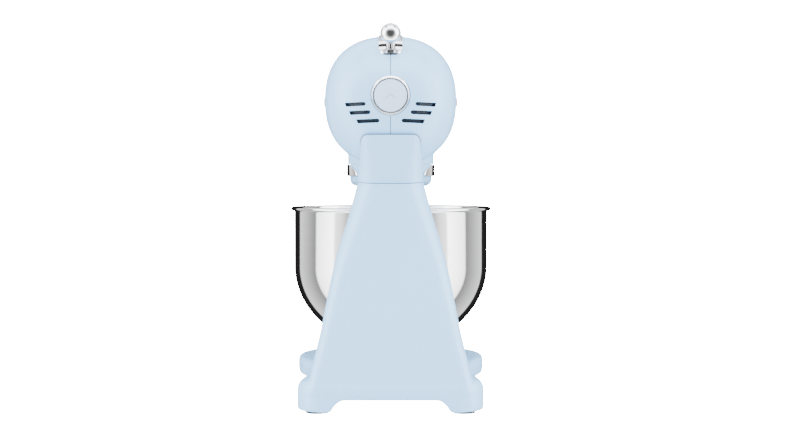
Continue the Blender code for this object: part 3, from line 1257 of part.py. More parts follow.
build()
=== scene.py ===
"""Looks of the tilt-head stand mixer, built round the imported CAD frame.

Units are metres, +Z is up and -Y is the front, where the bowl is. The camera looks at the
rear. Sizes come from the frame's nodes and joints; the named values below are the few
shape numbers that the frame does not hold.
"""
import json
import math

import bmesh
import bpy
from mathutils import Matrix, Vector


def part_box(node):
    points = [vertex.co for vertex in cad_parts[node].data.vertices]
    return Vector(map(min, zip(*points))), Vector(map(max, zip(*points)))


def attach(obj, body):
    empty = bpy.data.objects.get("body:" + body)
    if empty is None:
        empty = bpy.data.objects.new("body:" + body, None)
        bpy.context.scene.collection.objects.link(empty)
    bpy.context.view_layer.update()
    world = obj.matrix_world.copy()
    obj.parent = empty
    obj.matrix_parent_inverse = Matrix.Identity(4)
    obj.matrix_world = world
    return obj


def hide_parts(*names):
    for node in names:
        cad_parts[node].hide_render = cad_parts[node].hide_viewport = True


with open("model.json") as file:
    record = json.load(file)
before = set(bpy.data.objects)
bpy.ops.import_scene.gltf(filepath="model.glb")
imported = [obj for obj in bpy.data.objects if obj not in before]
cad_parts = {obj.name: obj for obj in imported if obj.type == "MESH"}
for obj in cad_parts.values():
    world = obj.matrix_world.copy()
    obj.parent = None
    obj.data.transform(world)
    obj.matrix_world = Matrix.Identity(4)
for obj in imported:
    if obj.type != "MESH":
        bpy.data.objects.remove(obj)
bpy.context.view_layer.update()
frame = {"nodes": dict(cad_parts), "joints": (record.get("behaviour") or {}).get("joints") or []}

MM = 0.001
FULL = 2 * math.pi
GAP = 0.3 * MM

# ---------------------------------------------------------------- sizes from the frame
JOINTS = {joint["name"]: joint for joint in frame["joints"]}
PIVOT = Vector(JOINTS["head_tilt"]["pos_m"])
SPINDLE_Y = JOINTS["planetary_turn"]["pos_m"][1]
DRIVE_Z = JOINTS["hub_drive_spin"]["pos_m"][2]
SPINDLE = Vector((0, SPINDLE_Y, 0))

SHELL_LOW, SHELL_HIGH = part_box("head_shell_left")
HEAD_HALF_WIDTH = -SHELL_LOW.x
HEAD_HALF_HEIGHT = SHELL_HIGH.z - PIVOT.z
NOSE_Y = SHELL_LOW.y
BAND_LOW, BAND_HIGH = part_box("chin_band")
HOUSING_LOW, HOUSING_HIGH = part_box("planetary_housing")
COLLAR_R = BAND_HIGH.x - 1.0 * MM
NECK_LOW, NECK_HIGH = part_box("neck_cover")
PEDESTAL_LOW, PEDESTAL_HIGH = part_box("pedestal")
PLATE_LOW, PLATE_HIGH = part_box("speed_plate")
RING_LOW, RING_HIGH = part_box("button_ring")
BUTTON_LOW, BUTTON_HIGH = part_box("release_button")
BOWL_LOW, BOWL_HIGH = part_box("bowl")
FOOT_LOW, FOOT_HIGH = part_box("bowl_foot")
HANDLE_LOW, HANDLE_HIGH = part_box("bowl_handle")
SEAT_LOW, SEAT_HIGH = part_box("bowl_seat")
HUB_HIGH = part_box("hub_ring")[1]
TRIM_LOW, TRIM_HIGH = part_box("side_trim_right")
BUTTON_Z = (RING_LOW.z + RING_HIGH.z) / 2

# ---------------------------------------------------------------- shape numbers
HEAD_POWER = 2.35             # superellipse of the head's section
HEAD_WALL = 2.5 * MM
SEAM_HALF = 0.3 * MM          # half the visible split between the two shells
TAPER_START_Y = -40 * MM
NOSE_FULLNESS = 0.897
BAND_WRAP = math.radians(131)
BAND_TAIL = math.radians(36)
CHIN_ROUND = 8 * MM
SEAM_LINE = 0.35 * MM         # extra width of the line between neck cover and column
SEAM_SLOPE = 0.062            # column's upper edge rises towards the front
SEAM_Z = NECK_LOW.z
NECK_HALF_WIDTH = NECK_HIGH.x
NECK_LIP_HALF_WIDTH = NECK_HALF_WIDTH - 4.0 * MM
NECK_WALL = 3 * MM
NECK_CORNER_R = 23 * MM
LIP_CORNER_R = 9 * MM
NECK_TOP_R = 7 * MM           # corners of the neck cover's upper edge, seen from behind
NECK_FRONT_Y = NECK_LOW.y
NECK_REAR_Y = PIVOT.y + 40 * MM
DOME_GAP = 1.2 * MM
COLUMN_CORNER_R = 12 * MM
COLUMN_FOOT_HALF_WIDTH = 82.3 * MM
COLUMN_FOOT_FRONT_Y = 51 * MM
COLUMN_CURVE = ((0, 0), (0.1, 0.095), (0.28, 0.277), (0.40, 0.372), (0.63, 0.573), (0.865, 0.852), (1, 1))
BASE_HALF_WIDTH = 90.9 * MM
BASE_REAR_Y = PEDESTAL_HIGH.y
BASE_CORNER_R = 29 * MM
BASE_TOP = SEAT_LOW.z - GAP
BASE_UNDERSIDE = 14 * MM
WAIST_HALF_WIDTH = 80 * MM
WAIST_Y = 66 * MM
PLATFORM_R = PEDESTAL_HIGH.x
REAR_EDGE_R = 9 * MM
FRONT_EDGE_R = 4 * MM
FOOT_INNER_X = 58 * MM
REAR_FOOT_LENGTH = 66 * MM
FRONT_FOOT_R = 17 * MM
FRONT_FOOT_X = 60 * MM
CASTING_WALL = 3.2 * MM
STEM_R = 3.6 * MM
SHOE_TAIL = math.radians(7.5)  # shoe under the stem that hides the end of the slot
SLOT_CLEAR = 0.9 * MM
LEVER_ANGLE = math.radians(38)
LEVER_SWING = math.radians(JOINTS["speed_lever_swing"]["range_deg"][1])
BALL_REACH = 80 * MM
BALL_R = 10.2 * MM
PLATE_TAIL = math.radians(10)
TILT_MAX = math.radians(JOINTS["head_tilt"]["range_deg"][1])
BUTTON_R = 15.8 * MM
RING_R = 19 * MM
EAR_OUT = 17 * MM
VENT_ROWS = ((-5.8, 24.0, 44.5), (-13.8, 19.4, 40.3), (-21.9, 10.7, 33.3))
VENT_HALF_HEIGHT = 1.9 * MM
VENT_TILT = math.radians(2)
BOWL_BODY_R = 106.3 * MM
BOWL_WALL = 1.3 * MM
BOWL_CURVE_Z = 130 * MM
BOWL_CURVE_DEPTH = 90 * MM
BOWL_FOOT_R = 49.5 * MM
LUG_TURNS = [math.pi / 2 + FULL * k / 3 for k in range(3)]
SEAT_LUG_HALF = 0.209         # half the angle that a lug of the seat spans, in radians
FOOT_LUG_HALF = 0.1745        # the same for a lug of the bowl's foot
FRONT_FOOT_Y = SPINDLE_Y - 48 * MM
COLLAR_WALL = 3 * MM
HUB_INNER_R = HUB_HIGH.x - 4 * MM
BUTTON_OFFSET = BUTTON_HIGH.y - PIVOT.y - HEAD_HALF_HEIGHT  # button's face past the dome

# ---------------------------------------------------------------- light and camera numbers
# soft boxes that glossy rays see, from those going towards -Y (0) to those going towards +Y (1)
BOX_STOPS = ((0.0, 0.004), (0.118, 0.004), (0.135, 0.30), (0.405, 0.085), (0.43, 0.85), (0.65, 1.5),
             (0.675, 0.62), (0.73, 0.5), (0.80, 0.2), (0.86, 0.12), (0.91, 0.03), (1.0, 0.02))
# the same for rays that go steeply up: strip lights across the room
STRIP_STOPS = ((0.0, 0.1), (0.2, 0.3), (0.23, 1.0), (0.27, 1.0), (0.285, 0.01), (0.35, 0.01),
               (0.365, 0.8), (0.39, 0.8), (0.405, 0.006), (0.53, 0.006), (0.56, 0.25), (0.58, 1.2),
               (0.75, 0.8), (0.85, 0.3), (1.0, 0.1))
BOX_STRENGTH = 6.0
COOL_WHITE = (0.88, 0.98, 1.12)
STUDIO = 2.3
BACKDROP = 40.0
FLOOR_GLOW = 40.0
LIGHT_TARGET = (0, 0.02, 0.2)
SIDE_POWER = 34
TOP_POWER = 30
CAMERA_LENS = 76.79
CAMERA_PLACE = (-0.0019, 1.801, 0.2339)
CAMERA_TILT = math.radians(88.34)

# ---------------------------------------------------------------- materials


class Paint:
    """A small helper for building one Principled material's node tree."""

    def __init__(self, name, colour, roughness, metallic=0.0):
        self.material = bpy.data.materials.new(name)
        self.material.use_nodes = True
        self.tree = self.material.node_tree
        self.shader = self.tree.nodes["Principled BSDF"]
        self.set("Base Color", (*colour, 1))
        self.set("Roughness", roughness)
        self.set("Metallic", metallic)
        self.colour = colour
        self.roughness = roughness
        self.place = self.node("ShaderNodeTexCoord").outputs["Object"]

    def set(self, socket, value):
        self.shader.inputs[socket].default_value = value

    def node(self, kind, **settings):
        made = self.tree.nodes.new(kind)
        for key, value in settings.items():
            setattr(made, key, value)
        return made

    def link(self, source, target):
        self.tree.links.new(source, target)

    def stretched(self, scale):
        """The object's coordinates, scaled differently along each axis."""
        mapping = self.node("ShaderNodeMapping")
        mapping.inputs["Scale"].default_value = scale
        self.link(self.place, mapping.inputs["Vector"])
        return mapping.outputs["Vector"]

    def noise(self, scale, detail=2.0, vector=None, rough=0.5):
        made = self.node("ShaderNodeTexNoise")
        made.inputs["Scale"].default_value = scale
        made.inputs["Detail"].default_value = detail
        made.inputs["Roughness"].default_value = rough
        self.link(vector or self.place, made.inputs["Vector"])
        return made.outputs["Fac"]

    def span(self, value, low, high, start=0.3, end=0.7):
        """Map a noise value to a range."""
        made = self.node("ShaderNodeMapRange")
        for key, number in (("From Min", start), ("From Max", end), ("To Min", low), ("To Max", high)):
            made.inputs[key].default_value = number
        self.link(value, made.inputs["Value"])
        return made.outputs["Result"]

    def tint(self, value, low, high):
        """Blend the base colour between two brightnesses of itself."""
        mix = self.node("ShaderNodeMix", data_type="RGBA")
        self.link(value, mix.inputs["Factor"])
        mix.inputs["A"].default_value = (*[c * low for c in self.colour], 1)
        mix.inputs["B"].default_value = (*[min(1, c * high) for c in self.colour], 1)
        self.link(mix.outputs["Result"], self.shader.inputs["Base Color"])

    def vary_roughness(self, value, amount):
        low = max(0.02, self.roughness - amount)
        self.link(self.span(value, low, self.roughness + amount), self.shader.inputs["Roughness"])

    def bump(self, value, strength, distance):
        made = self.node("ShaderNodeBump")
        made.inputs["Strength"].default_value = strength
        made.inputs["Distance"].default_value = distance
        self.link(value, made.inputs["Height"])
        self.link(made.outputs["Normal"], self.shader.inputs["Normal"])

    def coat(self, weight, roughness):
        self.set("Coat Weight", weight)
        self.set("Coat Roughness", roughness)


def enamel():
    """Glossy powder-coat enamel with faint orange peel and clear gloss."""
    paint = Paint("blue_paint_enamel", (0.38, 0.71, 1.0), 0.36)
    paint.tint(paint.span(paint.noise(9, 3), 0, 1), 0.985, 1.015)
    paint.vary_roughness(paint.noise(22, 3), 0.03)
    paint.bump(paint.noise(420, 2), 0.05, 0.00012)
    paint.coat(0.3, 0.22)
    return paint.material


def polished(name, colour, roughness, wear=0.02):
    """Plated metal with a soft haze and a few fine wipe marks."""
    paint = Paint(name, colour, roughness, 1.0)
    paint.tint(paint.span(paint.noise(14, 3), 0, 1), 0.97, 1.0)
    paint.vary_roughness(paint.noise(60, 4), wear)
    paint.bump(paint.noise(900, 2), 0.02, 0.00005)
    return paint.material


def brushed(name, colour, roughness, scale, depth=0.06):
    """Metal brushed across the axis along which scale is large."""
    paint = Paint(name, colour, roughness, 1.0)
    grain = paint.noise(1.0, 4, paint.stretched(scale), 0.7)
    paint.tint(paint.span(grain, 0, 1, 0.25, 0.75), 0.93, 1.0)
    paint.vary_roughness(grain, 0.05)
    paint.bump(grain, depth, 0.00006)
    return paint.material


def moulded(name, colour, roughness, grain=700, depth=0.25):
    """Moulded plastic or rubber with a fine spark-eroded grain."""
    paint = Paint(name, colour, roughness)
    paint.tint(paint.span(paint.noise(30, 3), 0, 1), 0.85, 1.15)
    paint.vary_roughness(paint.noise(45, 3), 0.06)
    paint.bump(paint.noise(grain, 3), depth, 0.0001)
    return paint.material


def cast(name, colour, roughness):
    """Sand-cast or die-cast metal: mottled, slightly pitted."""
    paint = Paint(name, colour, roughness, 1.0)
    paint.tint(paint.span(paint.noise(55, 5), 0, 1), 0.8, 1.05)
    paint.vary_roughness(paint.noise(80, 4), 0.1)
    paint.bump(paint.noise(350, 4), 0.3, 0.0002)
    return paint.material


def striped(name, colour, roughness, scale, distortion, tint, bump, depth):
    """Metal in thin layers across the motor's axis: wound wire or stamped sheets."""
    paint = Paint(name, colour, roughness, 1.0)
    wave = paint.node("ShaderNodeTexWave", bands_direction="Y")
    wave.inputs["Scale"].default_value = scale
    wave.inputs["Distortion"].default_value = distortion
    paint.link(paint.place, wave.inputs["Vector"])
    paint.tint(wave.outputs["Fac"], *tint)
    paint.bump(wave.outputs["Fac"], bump, depth)
    return paint.material


def solder_mask():
    """Circuit board lacquer with darker tracks."""
    paint = Paint("board_green_mask", (0.03, 0.2, 0.08), 0.35)
    cells = paint.node("ShaderNodeTexVoronoi", feature="DISTANCE_TO_EDGE")
    cells.inputs["Scale"].default_value = 240
    paint.link(paint.place, cells.inputs["Vector"])
    paint.tint(paint.span(cells.outputs["Distance"], 0, 1, 0.02, 0.08), 0.5, 1.2)
    paint.coat(0.4, 0.15)
    return paint.material


def bowl_finish():
    """Satin-polished spun steel: fine rings round the bowl, soft wide gloss."""
    paint = Paint("bowl_steel_spun", (0.66, 0.665, 0.67), 0.07, 1.0)
    grain = paint.noise(1.0, 5, paint.stretched((9, 9, 2600)), 0.75)
    soft = paint.noise(1.0, 2, paint.stretched((3, 3, 160)), 0.5)
    paint.tint(paint.span(soft, 0, 1), 0.975, 1.0)
    paint.vary_roughness(grain, 0.02)
    paint.bump(grain, 0.012, 0.00003)
    return paint.material


def cap_plastic():
    """Smooth pale plastic of the release button."""
    paint = Paint("button_white_gloss", (0.62, 0.76, 0.93), 0.28)
    paint.tint(paint.span(paint.noise(20, 2), 0, 1), 0.985, 1.01)
    paint.vary_roughness(paint.noise(60, 3), 0.04)
    paint.coat(0.5, 0.1)
    return paint.material


LOOKS = {
    "blue_paint": enamel(),
    "chrome": polished("chrome_plate", (0.82, 0.82, 0.83), 0.06),
    "bowl_steel": bowl_finish(),
    "black_plastic": moulded("black_plastic_grain", (0.004, 0.006, 0.013), 0.6),
    "rubber": moulded("rubber_matt", (0.025, 0.025, 0.027), 0.8, 500, 0.4),
    "cast_aluminium": cast("cast_aluminium_skin", (0.55, 0.56, 0.58), 0.42),
    "gear_steel": brushed("gear_steel_cut", (0.42, 0.42, 0.44), 0.32, (900, 900, 60)),
    "shaft_steel": brushed("shaft_steel_ground", (0.6, 0.6, 0.62), 0.22, (60, 60, 1500)),
    "lamination": striped("lamination_stack", (0.2, 0.2, 0.22), 0.45, 320, 0, (0.55, 1.2), 0.5, 0.00015),
    "copper": striped("copper_winding", (0.62, 0.26, 0.12), 0.32, 420, 0.6, (0.6, 1.1), 0.6, 0.0002),
    "board_green": solder_mask(),
    "button_white": cap_plastic(),
    "beater_grey": cast("beater_grey_burnished", (0.66, 0.67, 0.69), 0.3),
}
# near-black chrome for the side strips: painted dark reflection, standing for the dark surroundings that the
# real chrome strips mirror
LOOKS["chrome_painted_dark_reflection"] = polished("chrome_painted_dark_reflection", (0.05, 0.05, 0.055), 0.22)
# dark grey for the strip in the gap round the neck cover's lip: painted shade of the gap line
LOOKS["seal_grey"] = moulded("gap_shade_strip_grain", (0.12, 0.15, 0.18), 0.7, 400, 0.1)
LOOKS["mark_grey"] = moulded("mark_grey_print", (0.42, 0.47, 0.52), 0.5, 300, 0.05)

# ---------------------------------------------------------------- mesh helpers


def finish_mesh(name, bm, sharp=35):
    bmesh.ops.recalc_face_normals(bm, faces=bm.faces)
    mesh = bpy.data.meshes.new(name)
    bm.to_mesh(mesh)
    bm.free()
    mesh.shade_smooth()
    mesh.set_sharp_from_angle(angle=math.radians(sharp))
    piece = bpy.data.objects.new(name, mesh)
    bpy.context.scene.collection.objects.link(piece)
    return piece


def loft(name, rings, closed=False, pole=None, sharp=35):
    """Skin a list of rings. closed joins the last ring to the first; pole ends in a point."""
    bm = bmesh.new()
    loops = [[bm.verts.new(point) for point in ring] for ring in rings]
    count = len(rings[0])
    pairs = list(zip(loops, loops[1:]))
    if closed:
        pairs.append((loops[-1], loops[0]))
    for low, high in pairs:
        for i in range(count):
            j = (i + 1) % count
            bm.faces.new((low[i], low[j], high[j], high[i]))
    if not closed:
        bm.faces.new(loops[0])
        if pole is None:
            bm.faces.new(loops[-1])
        else:
            tip = bm.verts.new(pole)
            for i in range(count):
                bm.faces.new((loops[-1][i], loops[-1][(i + 1) % count], tip))
    return finish_mesh(name, bm, sharp)


def frame_axes(axis):
    along = {"X": Vector((1, 0, 0)), "Y": Vector((0, 1, 0)), "Z": Vector((0, 0, 1))}[axis]
    first = {"X": Vector((0, 1, 0)), "Y": Vector((0, 0, 1)), "Z": Vector((1, 0, 0))}[axis]
    return first, along.cross(first), along


def turned(name, profile, centre=(0, 0, 0), axis="Z", segments=128, solid=False, sharp=35):
    """Revolve a profile of (radius, distance along the axis); solid ends it in flat discs."""
    first, second, along = frame_axes(axis)
    centre = Vector(centre)
    outs = [first * math.cos(FULL * k / segments) + second * math.sin(FULL * k / segments)
            for k in range(segments)]
    if solid:
        rings = [[centre + out * r + along * h for out in outs] for r, h in profile]
        return loft(name, rings, sharp=sharp)
    rings = [[centre + out * r + along * h for r, h in profile] for out in outs]
    return loft(name, rings, closed=True, sharp=sharp)


def rod(name, centre, axis, radius, low, high, segments=96):
    return turned(name, ((radius, low), (radius, high)), centre, axis, segments, solid=True)


def box(name, low, high):
    corners = ((low[0], low[1]), (high[0], low[1]), (high[0], high[1]), (low[0], high[1]))
    return loft(name, [[(x, y, z) for x, y in corners] for z in (low[2], high[2])])


def slab(name, outline, axis, low, high):
    first, second, along = frame_axes(axis)
    return loft(name, [[first * u + second * v + along * h for u, v in outline] for h in (low, high)])


def boolean(target, tool, operation):
    modifier = target.modifiers.new("boolean", "BOOLEAN")
    modifier.operation = operation
    modifier.solver = "EXACT"
    modifier.object = tool
    apply_modifiers(target)
    bpy.data.objects.remove(tool, do_unlink=True)
    return target


def apply_modifiers(target, sharp=35):
    graph = bpy.context.evaluated_depsgraph_get()
    result = bpy.data.meshes.new_from_object(target.evaluated_get(graph))
    target.modifiers.clear()
    target.data = result
    result.shade_smooth()
    result.set_sharp_from_angle(angle=math.radians(sharp))
    return target


def cut(target, tool):
    return boolean(target, tool, "DIFFERENCE")


def join(target, tool):
    return boolean(target, tool, "UNION")


def keep(target, tool):
    return boolean(target, tool, "INTERSECT")


def arc(centre, radius, start, end, steps):
    turns = [start + (end - start) * k / steps for k in range(steps + 1)]
    return [(centre[0] + radius * math.cos(a), centre[1] + radius * math.sin(a)) for a in turns]


def smooth_step(share):
    share = min(1.0, max(0.0, share))
    return share * share * (3 - 2 * share)


def softened(piece, voxel, rounds, factor=0.5):
    """Remesh a piece evenly and relax it, so that its edges and joins come out rounded."""
    remesh = piece.modifiers.new("remesh", "REMESH")
    remesh.mode = "VOXEL"
    remesh.voxel_size = voxel
    relax = piece.modifiers.new("relax", "SMOOTH")
    relax.factor = factor
    relax.iterations = rounds
    return apply_modifiers(piece, 60)


def rounded(piece, width, segments=3, angle=30):
    """Round the piece's hard edges."""
    bevel = piece.modifiers.new("round", "BEVEL")
    bevel.width = width
    bevel.segments = segments
    bevel.limit_method = "ANGLE"
    bevel.angle_limit = math.radians(angle)
    bevel.harden_normals = False
    return piece


def place(piece, body, look, *nodes):
    """Give a finished piece its material and body, and hide the CAD nodes it stands for."""
    piece.data.materials.clear()
    piece.data.materials.append(LOOKS[look])
    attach(piece, body)
    if nodes:
        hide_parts(*nodes)
    return piece


# ---------------------------------------------------------------- head surface
def head_section(y, offset):
    """Half-width, half-height and centre height of the head at y, moved out by offset."""
    share = max(0.0, (TAPER_START_Y - y) / (TAPER_START_Y - NOSE_Y))
    size = (1 - (NOSE_FULLNESS * share) ** 3) ** (1 / 2.2)
    centre_z = PIVOT.z - (PIVOT.z - DRIVE_Z) * smooth_step(share)
    return HEAD_HALF_WIDTH * size + offset, HEAD_HALF_HEIGHT * size + offset, centre_z


def head_ring(y, offset, count):
    """Ring round the head at y. Behind the tilt axis the dome is turned about it."""
    half_width, half_height, centre_z = head_section(y, offset)
    behind = max(0.0, y - PIVOT.y)
    top = math.sqrt(max(0.0, half_height ** 2 - behind ** 2))
    points = []
    for k in range(count):
        angle = FULL * k / count
        value = math.sin(angle)
        up = top * math.copysign(abs(value) ** (2 / HEAD_POWER), value)
        reach = min(1.0, math.hypot(behind, up) / half_height)
        side = half_width * (1 - reach ** HEAD_POWER) ** (1 / HEAD_POWER)
        points.append((math.copysign(side, math.cos(angle)), y, centre_z + up))
    points[count // 4] = (0, y, centre_z + top)
    points[3 * count // 4] = (0, y, centre_z - top)
    return points


def head_solid(name, offset, count=128, front_steps=34, dome_steps=40):
    """The head's outer form, moved out by offset. It is closed by a flat face at the nose and by a point at
    the rear.
    """
    front = NOSE_Y - offset
    ys = [front + (TAPER_START_Y - front) * smooth_step(k / front_steps) ** 0.8
          for k in range(front_steps)]
    ys += [TAPER_START_Y + (PIVOT.y - TAPER_START_Y) * k / 8 for k in range(8)]
    radius = HEAD_HALF_HEIGHT + offset
    ys += [PIVOT.y + radius * math.sin(math.pi / 2 * k / dome_steps) for k in range(dome_steps)]
    return loft(name, [head_ring(y, offset, count) for y in ys], pole=(0, PIVOT.y + radius, PIVOT.z))


def dome_sector(name, half_width, rear_angle, front_angle, inner, outer, steps=48):
    """A sector round the tilt axis, angles measured from straight up towards the rear."""
    outline = []
    for radius, flip in ((inner, 1), (outer, -1)):
        turns = [rear_angle + (front_angle - rear_angle) * k / steps for k in range(steps + 1)]
        outline += [(PIVOT.y + radius * math.sin(a), PIVOT.z + radius * math.cos(a))
                    for a in turns[::flip]]
    return slab(name, outline, "X", -half_width, half_width)


def stem_slot(name, half_width):
    """The slot that the lever's stem sweeps."""
    spread = math.asin(half_width / HEAD_HALF_HEIGHT) + math.radians(1.5)
    return dome_sector(name, half_width, LEVER_ANGLE + spread, LEVER_ANGLE - LEVER_SWING - spread,
                       HEAD_HALF_HEIGHT - 12 * MM, HEAD_HALF_HEIGHT + 9 * MM)


def vent_outline(side, drop, inner, outer):
    """One vent seen from behind: round at its inner end and slanted at its outer end."""
    half = VENT_HALF_HEIGHT
    points = arc((inner * MM + half, 0), half, math.pi / 2, 3 * math.pi / 2, 12)
    slant = 1.6 * MM
    points += [(outer * MM - slant, -half), (outer * MM, half)]
    lean = math.tan(VENT_TILT)
    shaped = []
    for x, z in points:
        shaped.append((side * x, PIVOT.z + drop * MM + z - (x - (inner + outer) * MM / 2) * lean))
    return shaped


def rear_slab(name, outline_xz, low_y, high_y):
    """Extrude an (x, z) outline along Y."""
    return loft(name, [[(x, y, z) for x, z in outline_xz] for y in (low_y, high_y)])


def make_head():
    """Both shells in one piece, parted by the seam."""
    shell = head_solid("head_shell", 0)
    collar_top = PIVOT.z - 30 * MM
    join(shell, rod("collar", SPINDLE, "Z", COLLAR_R, BAND_HIGH.z + GAP, collar_top, 128))
    cut(shell, head_solid("inside", -HEAD_WALL, 96, 20, 24))
    cut(shell, rod("bore", SPINDLE, "Z", COLLAR_R - COLLAR_WALL, 0.1, collar_top - MM, 96))
    cut(shell, rod("recess", SPINDLE, "Z", COLLAR_R + MM + GAP, 0.1, BAND_HIGH.z + GAP, 128))
    cut(shell, rod("ring_hole", (0, 0, BUTTON_Z), "Y", RING_R + GAP, PIVOT.y + 20 * MM, 1))
    cut(shell, rod("hub_hole", (0, 0, DRIVE_Z), "Y", HUB_HIGH.x + GAP, -1, NOSE_Y + 20 * MM))
    cut(shell, stem_slot("slot", STEM_R + SLOT_CLEAR))
    ear = math.asin(11 * MM / (HEAD_HALF_HEIGHT - HEAD_WALL)) + math.radians(2)
    cut(shell, dome_sector("ear_slot", EAR_OUT + 1.5 * MM, math.pi - TILT_MAX - ear, math.pi + ear,
                           HEAD_HALF_HEIGHT - 14 * MM, HEAD_HALF_HEIGHT + 9 * MM))
    for side in (-1, 1):
        for row in VENT_ROWS:
            cut(shell, rear_slab("vent", vent_outline(side, *row), PIVOT.y + 15 * MM, 0.4))
    cut(shell, box("seam", (-SEAM_HALF, -0.3, 0.1), (SEAM_HALF, 0.3, 0.5)))
    place(shell, "head", "blue_paint", "head_shell_left", "head_shell_right")


def make_head_trim():
    """Lever plate, button ring, side strips, and the hub's ring and cap."""
    plate = head_solid("dial_plate", PLATE_HIGH.z - PIVOT.z - HEAD_HALF_HEIGHT, 160, 10, 60)
    half = PLATE_HIGH.x
    rear = PIVOT.y + (HEAD_HALF_HEIGHT + MM) * math.sin(LEVER_ANGLE + PLATE_TAIL)
    corner = 8 * MM
    front_y = PLATE_LOW.y
    plan = arc((half - corner, rear - corner), corner, 0, math.pi / 2, 10)
    plan += arc((-half + corner, rear - corner), corner, math.pi / 2, math.pi, 10)
    plan += arc((-half + corner, front_y + corner), corner, math.pi, 1.5 * math.pi, 10)
    plan += arc((half - corner, front_y + corner), corner, 1.5 * math.pi, FULL, 10)
    keep(plate, slab("blank", plan, "Z", PIVOT.z + 20 * MM, PIVOT.z + 100 * MM))
    cut(plate, head_solid("under", GAP, 160, 10, 60))
    cut(plate, stem_slot("slot", STEM_R + SLOT_CLEAR))
    place(rounded(plate, 0.7 * MM, 4), "head", "chrome", "speed_plate")

    crest_y = PIVOT.y + math.sqrt(HEAD_HALF_HEIGHT ** 2 - RING_R ** 2) + 0.9 * MM
    ring_inner = BUTTON_R + 0.9 * MM
    profile = [(ring_inner, RING_LOW.y), (RING_R, RING_LOW.y), (RING_R, crest_y - 1.3 * MM)]
    profile += arc((RING_R - 0.35 * MM, crest_y - 1.2 * MM), 0.35 * MM, 0, math.radians(58), 4)
    profile += arc((ring_inner + 0.5 * MM, crest_y - 0.35 * MM), 0.45 * MM, math.radians(58), math.pi, 8)
    profile += [(ring_inner, crest_y - 1.0 * MM)]
    place(turned("button_bezel", profile, (0, 0, BUTTON_Z), "Y", sharp=45), "head", "chrome", "button_ring")

    half = 4.5 * MM
    reach = (TRIM_HIGH.y - TRIM_LOW.y) / 2 - half
    middle_y = (TRIM_HIGH.y + TRIM_LOW.y) / 2
    for side, word in ((-1, "left"), (1, "right")):
        outline = arc((middle_y + reach, PIVOT.z), half, -math.pi / 2, math.pi / 2, 20)
        outline += arc((middle_y - reach, PIVOT.z), half, math.pi / 2, 3 * math.pi / 2, 20)
        strip = slab("side_strip_" + word, outline, "X", side * 0.03, side * TRIM_HIGH.x)
        cut(strip, head_solid("body", GAP))
        # the side strips take the near-black chrome: painted dark reflection
        place(rounded(strip, 1.3 * MM, 5), "head", "chrome_painted_dark_reflection", "side_trim_" + word)

    rim = [(HUB_INNER_R, HUB_HIGH.y), (HUB_HIGH.x, HUB_HIGH.y), (HUB_HIGH.x, NOSE_Y - MM)]
    middle = (HUB_HIGH.x + HUB_INNER_R) / 2
    rim += arc((middle, NOSE_Y - 0.7 * MM), HUB_HIGH.x - middle - 0.05 * MM, 0, -math.pi, 10)
    place(turned("hub_bezel", rim, (0, 0, DRIVE_Z), "Y"), "head", "chrome", "hub_ring")

    cap_r = HUB_INNER_R - 0.5 * MM
    depth = 2.3 * MM
    profile = [(cap_r, NOSE_Y + 5 * MM), (cap_r, NOSE_Y)]
    profile += [(cap_r * math.cos(a), NOSE_Y - depth * math.sin(a))
                for a in (math.pi / 2 * k / 12 for k in range(1, 12))]
    cap = turned("hub_cap", profile, (0, 0, DRIVE_Z), "Y", solid=True)
    place(cap, "hub_cover", "blue_paint", "hub_cover")


def make_button():
    """Release button with a plain raised chevron."""
    cap = head_solid("button_cap", BUTTON_OFFSET, 160, 4, 60)
    keep(cap, rod("blank", (0, 0, BUTTON_Z), "Y", BUTTON_R, PIVOT.y + 40 * MM, 1, 128))
    cut(cap, box("back", (-0.1, 0, 0.1), (0.1, PIVOT.y + HEAD_HALF_HEIGHT - 8 * MM, 0.5)))
    stem_end = PIVOT.y + HEAD_HALF_HEIGHT - 5 * MM
    join(cap, rod("stem", (0, 0, BUTTON_Z), "Y", 4 * MM, BUTTON_LOW.y, stem_end, 48))
    place(rounded(cap, 0.5 * MM, 3), "release_button", "button_white", "release_button")
    mark = head_solid("button_mark", BUTTON_OFFSET + 0.12 * MM, 96, 4, 60)
    z = BUTTON_Z - 1.2 * MM
    chevron = [(-4, 0), (0, 3), (4, 0), (4, -1.2), (0, 1.8), (-4, -1.2)]
    keep(mark, rear_slab("blank", [(x * MM, z + h * MM) for x, h in chevron],
                         PIVOT.y + 0.05, PIVOT.y + 0.1))
    cut(mark, box("back", (-0.1, 0, 0.1), (0.1, PIVOT.y + HEAD_HALF_HEIGHT - 2.5 * MM, 0.5)))
    place(mark, "release_button", "mark_grey")


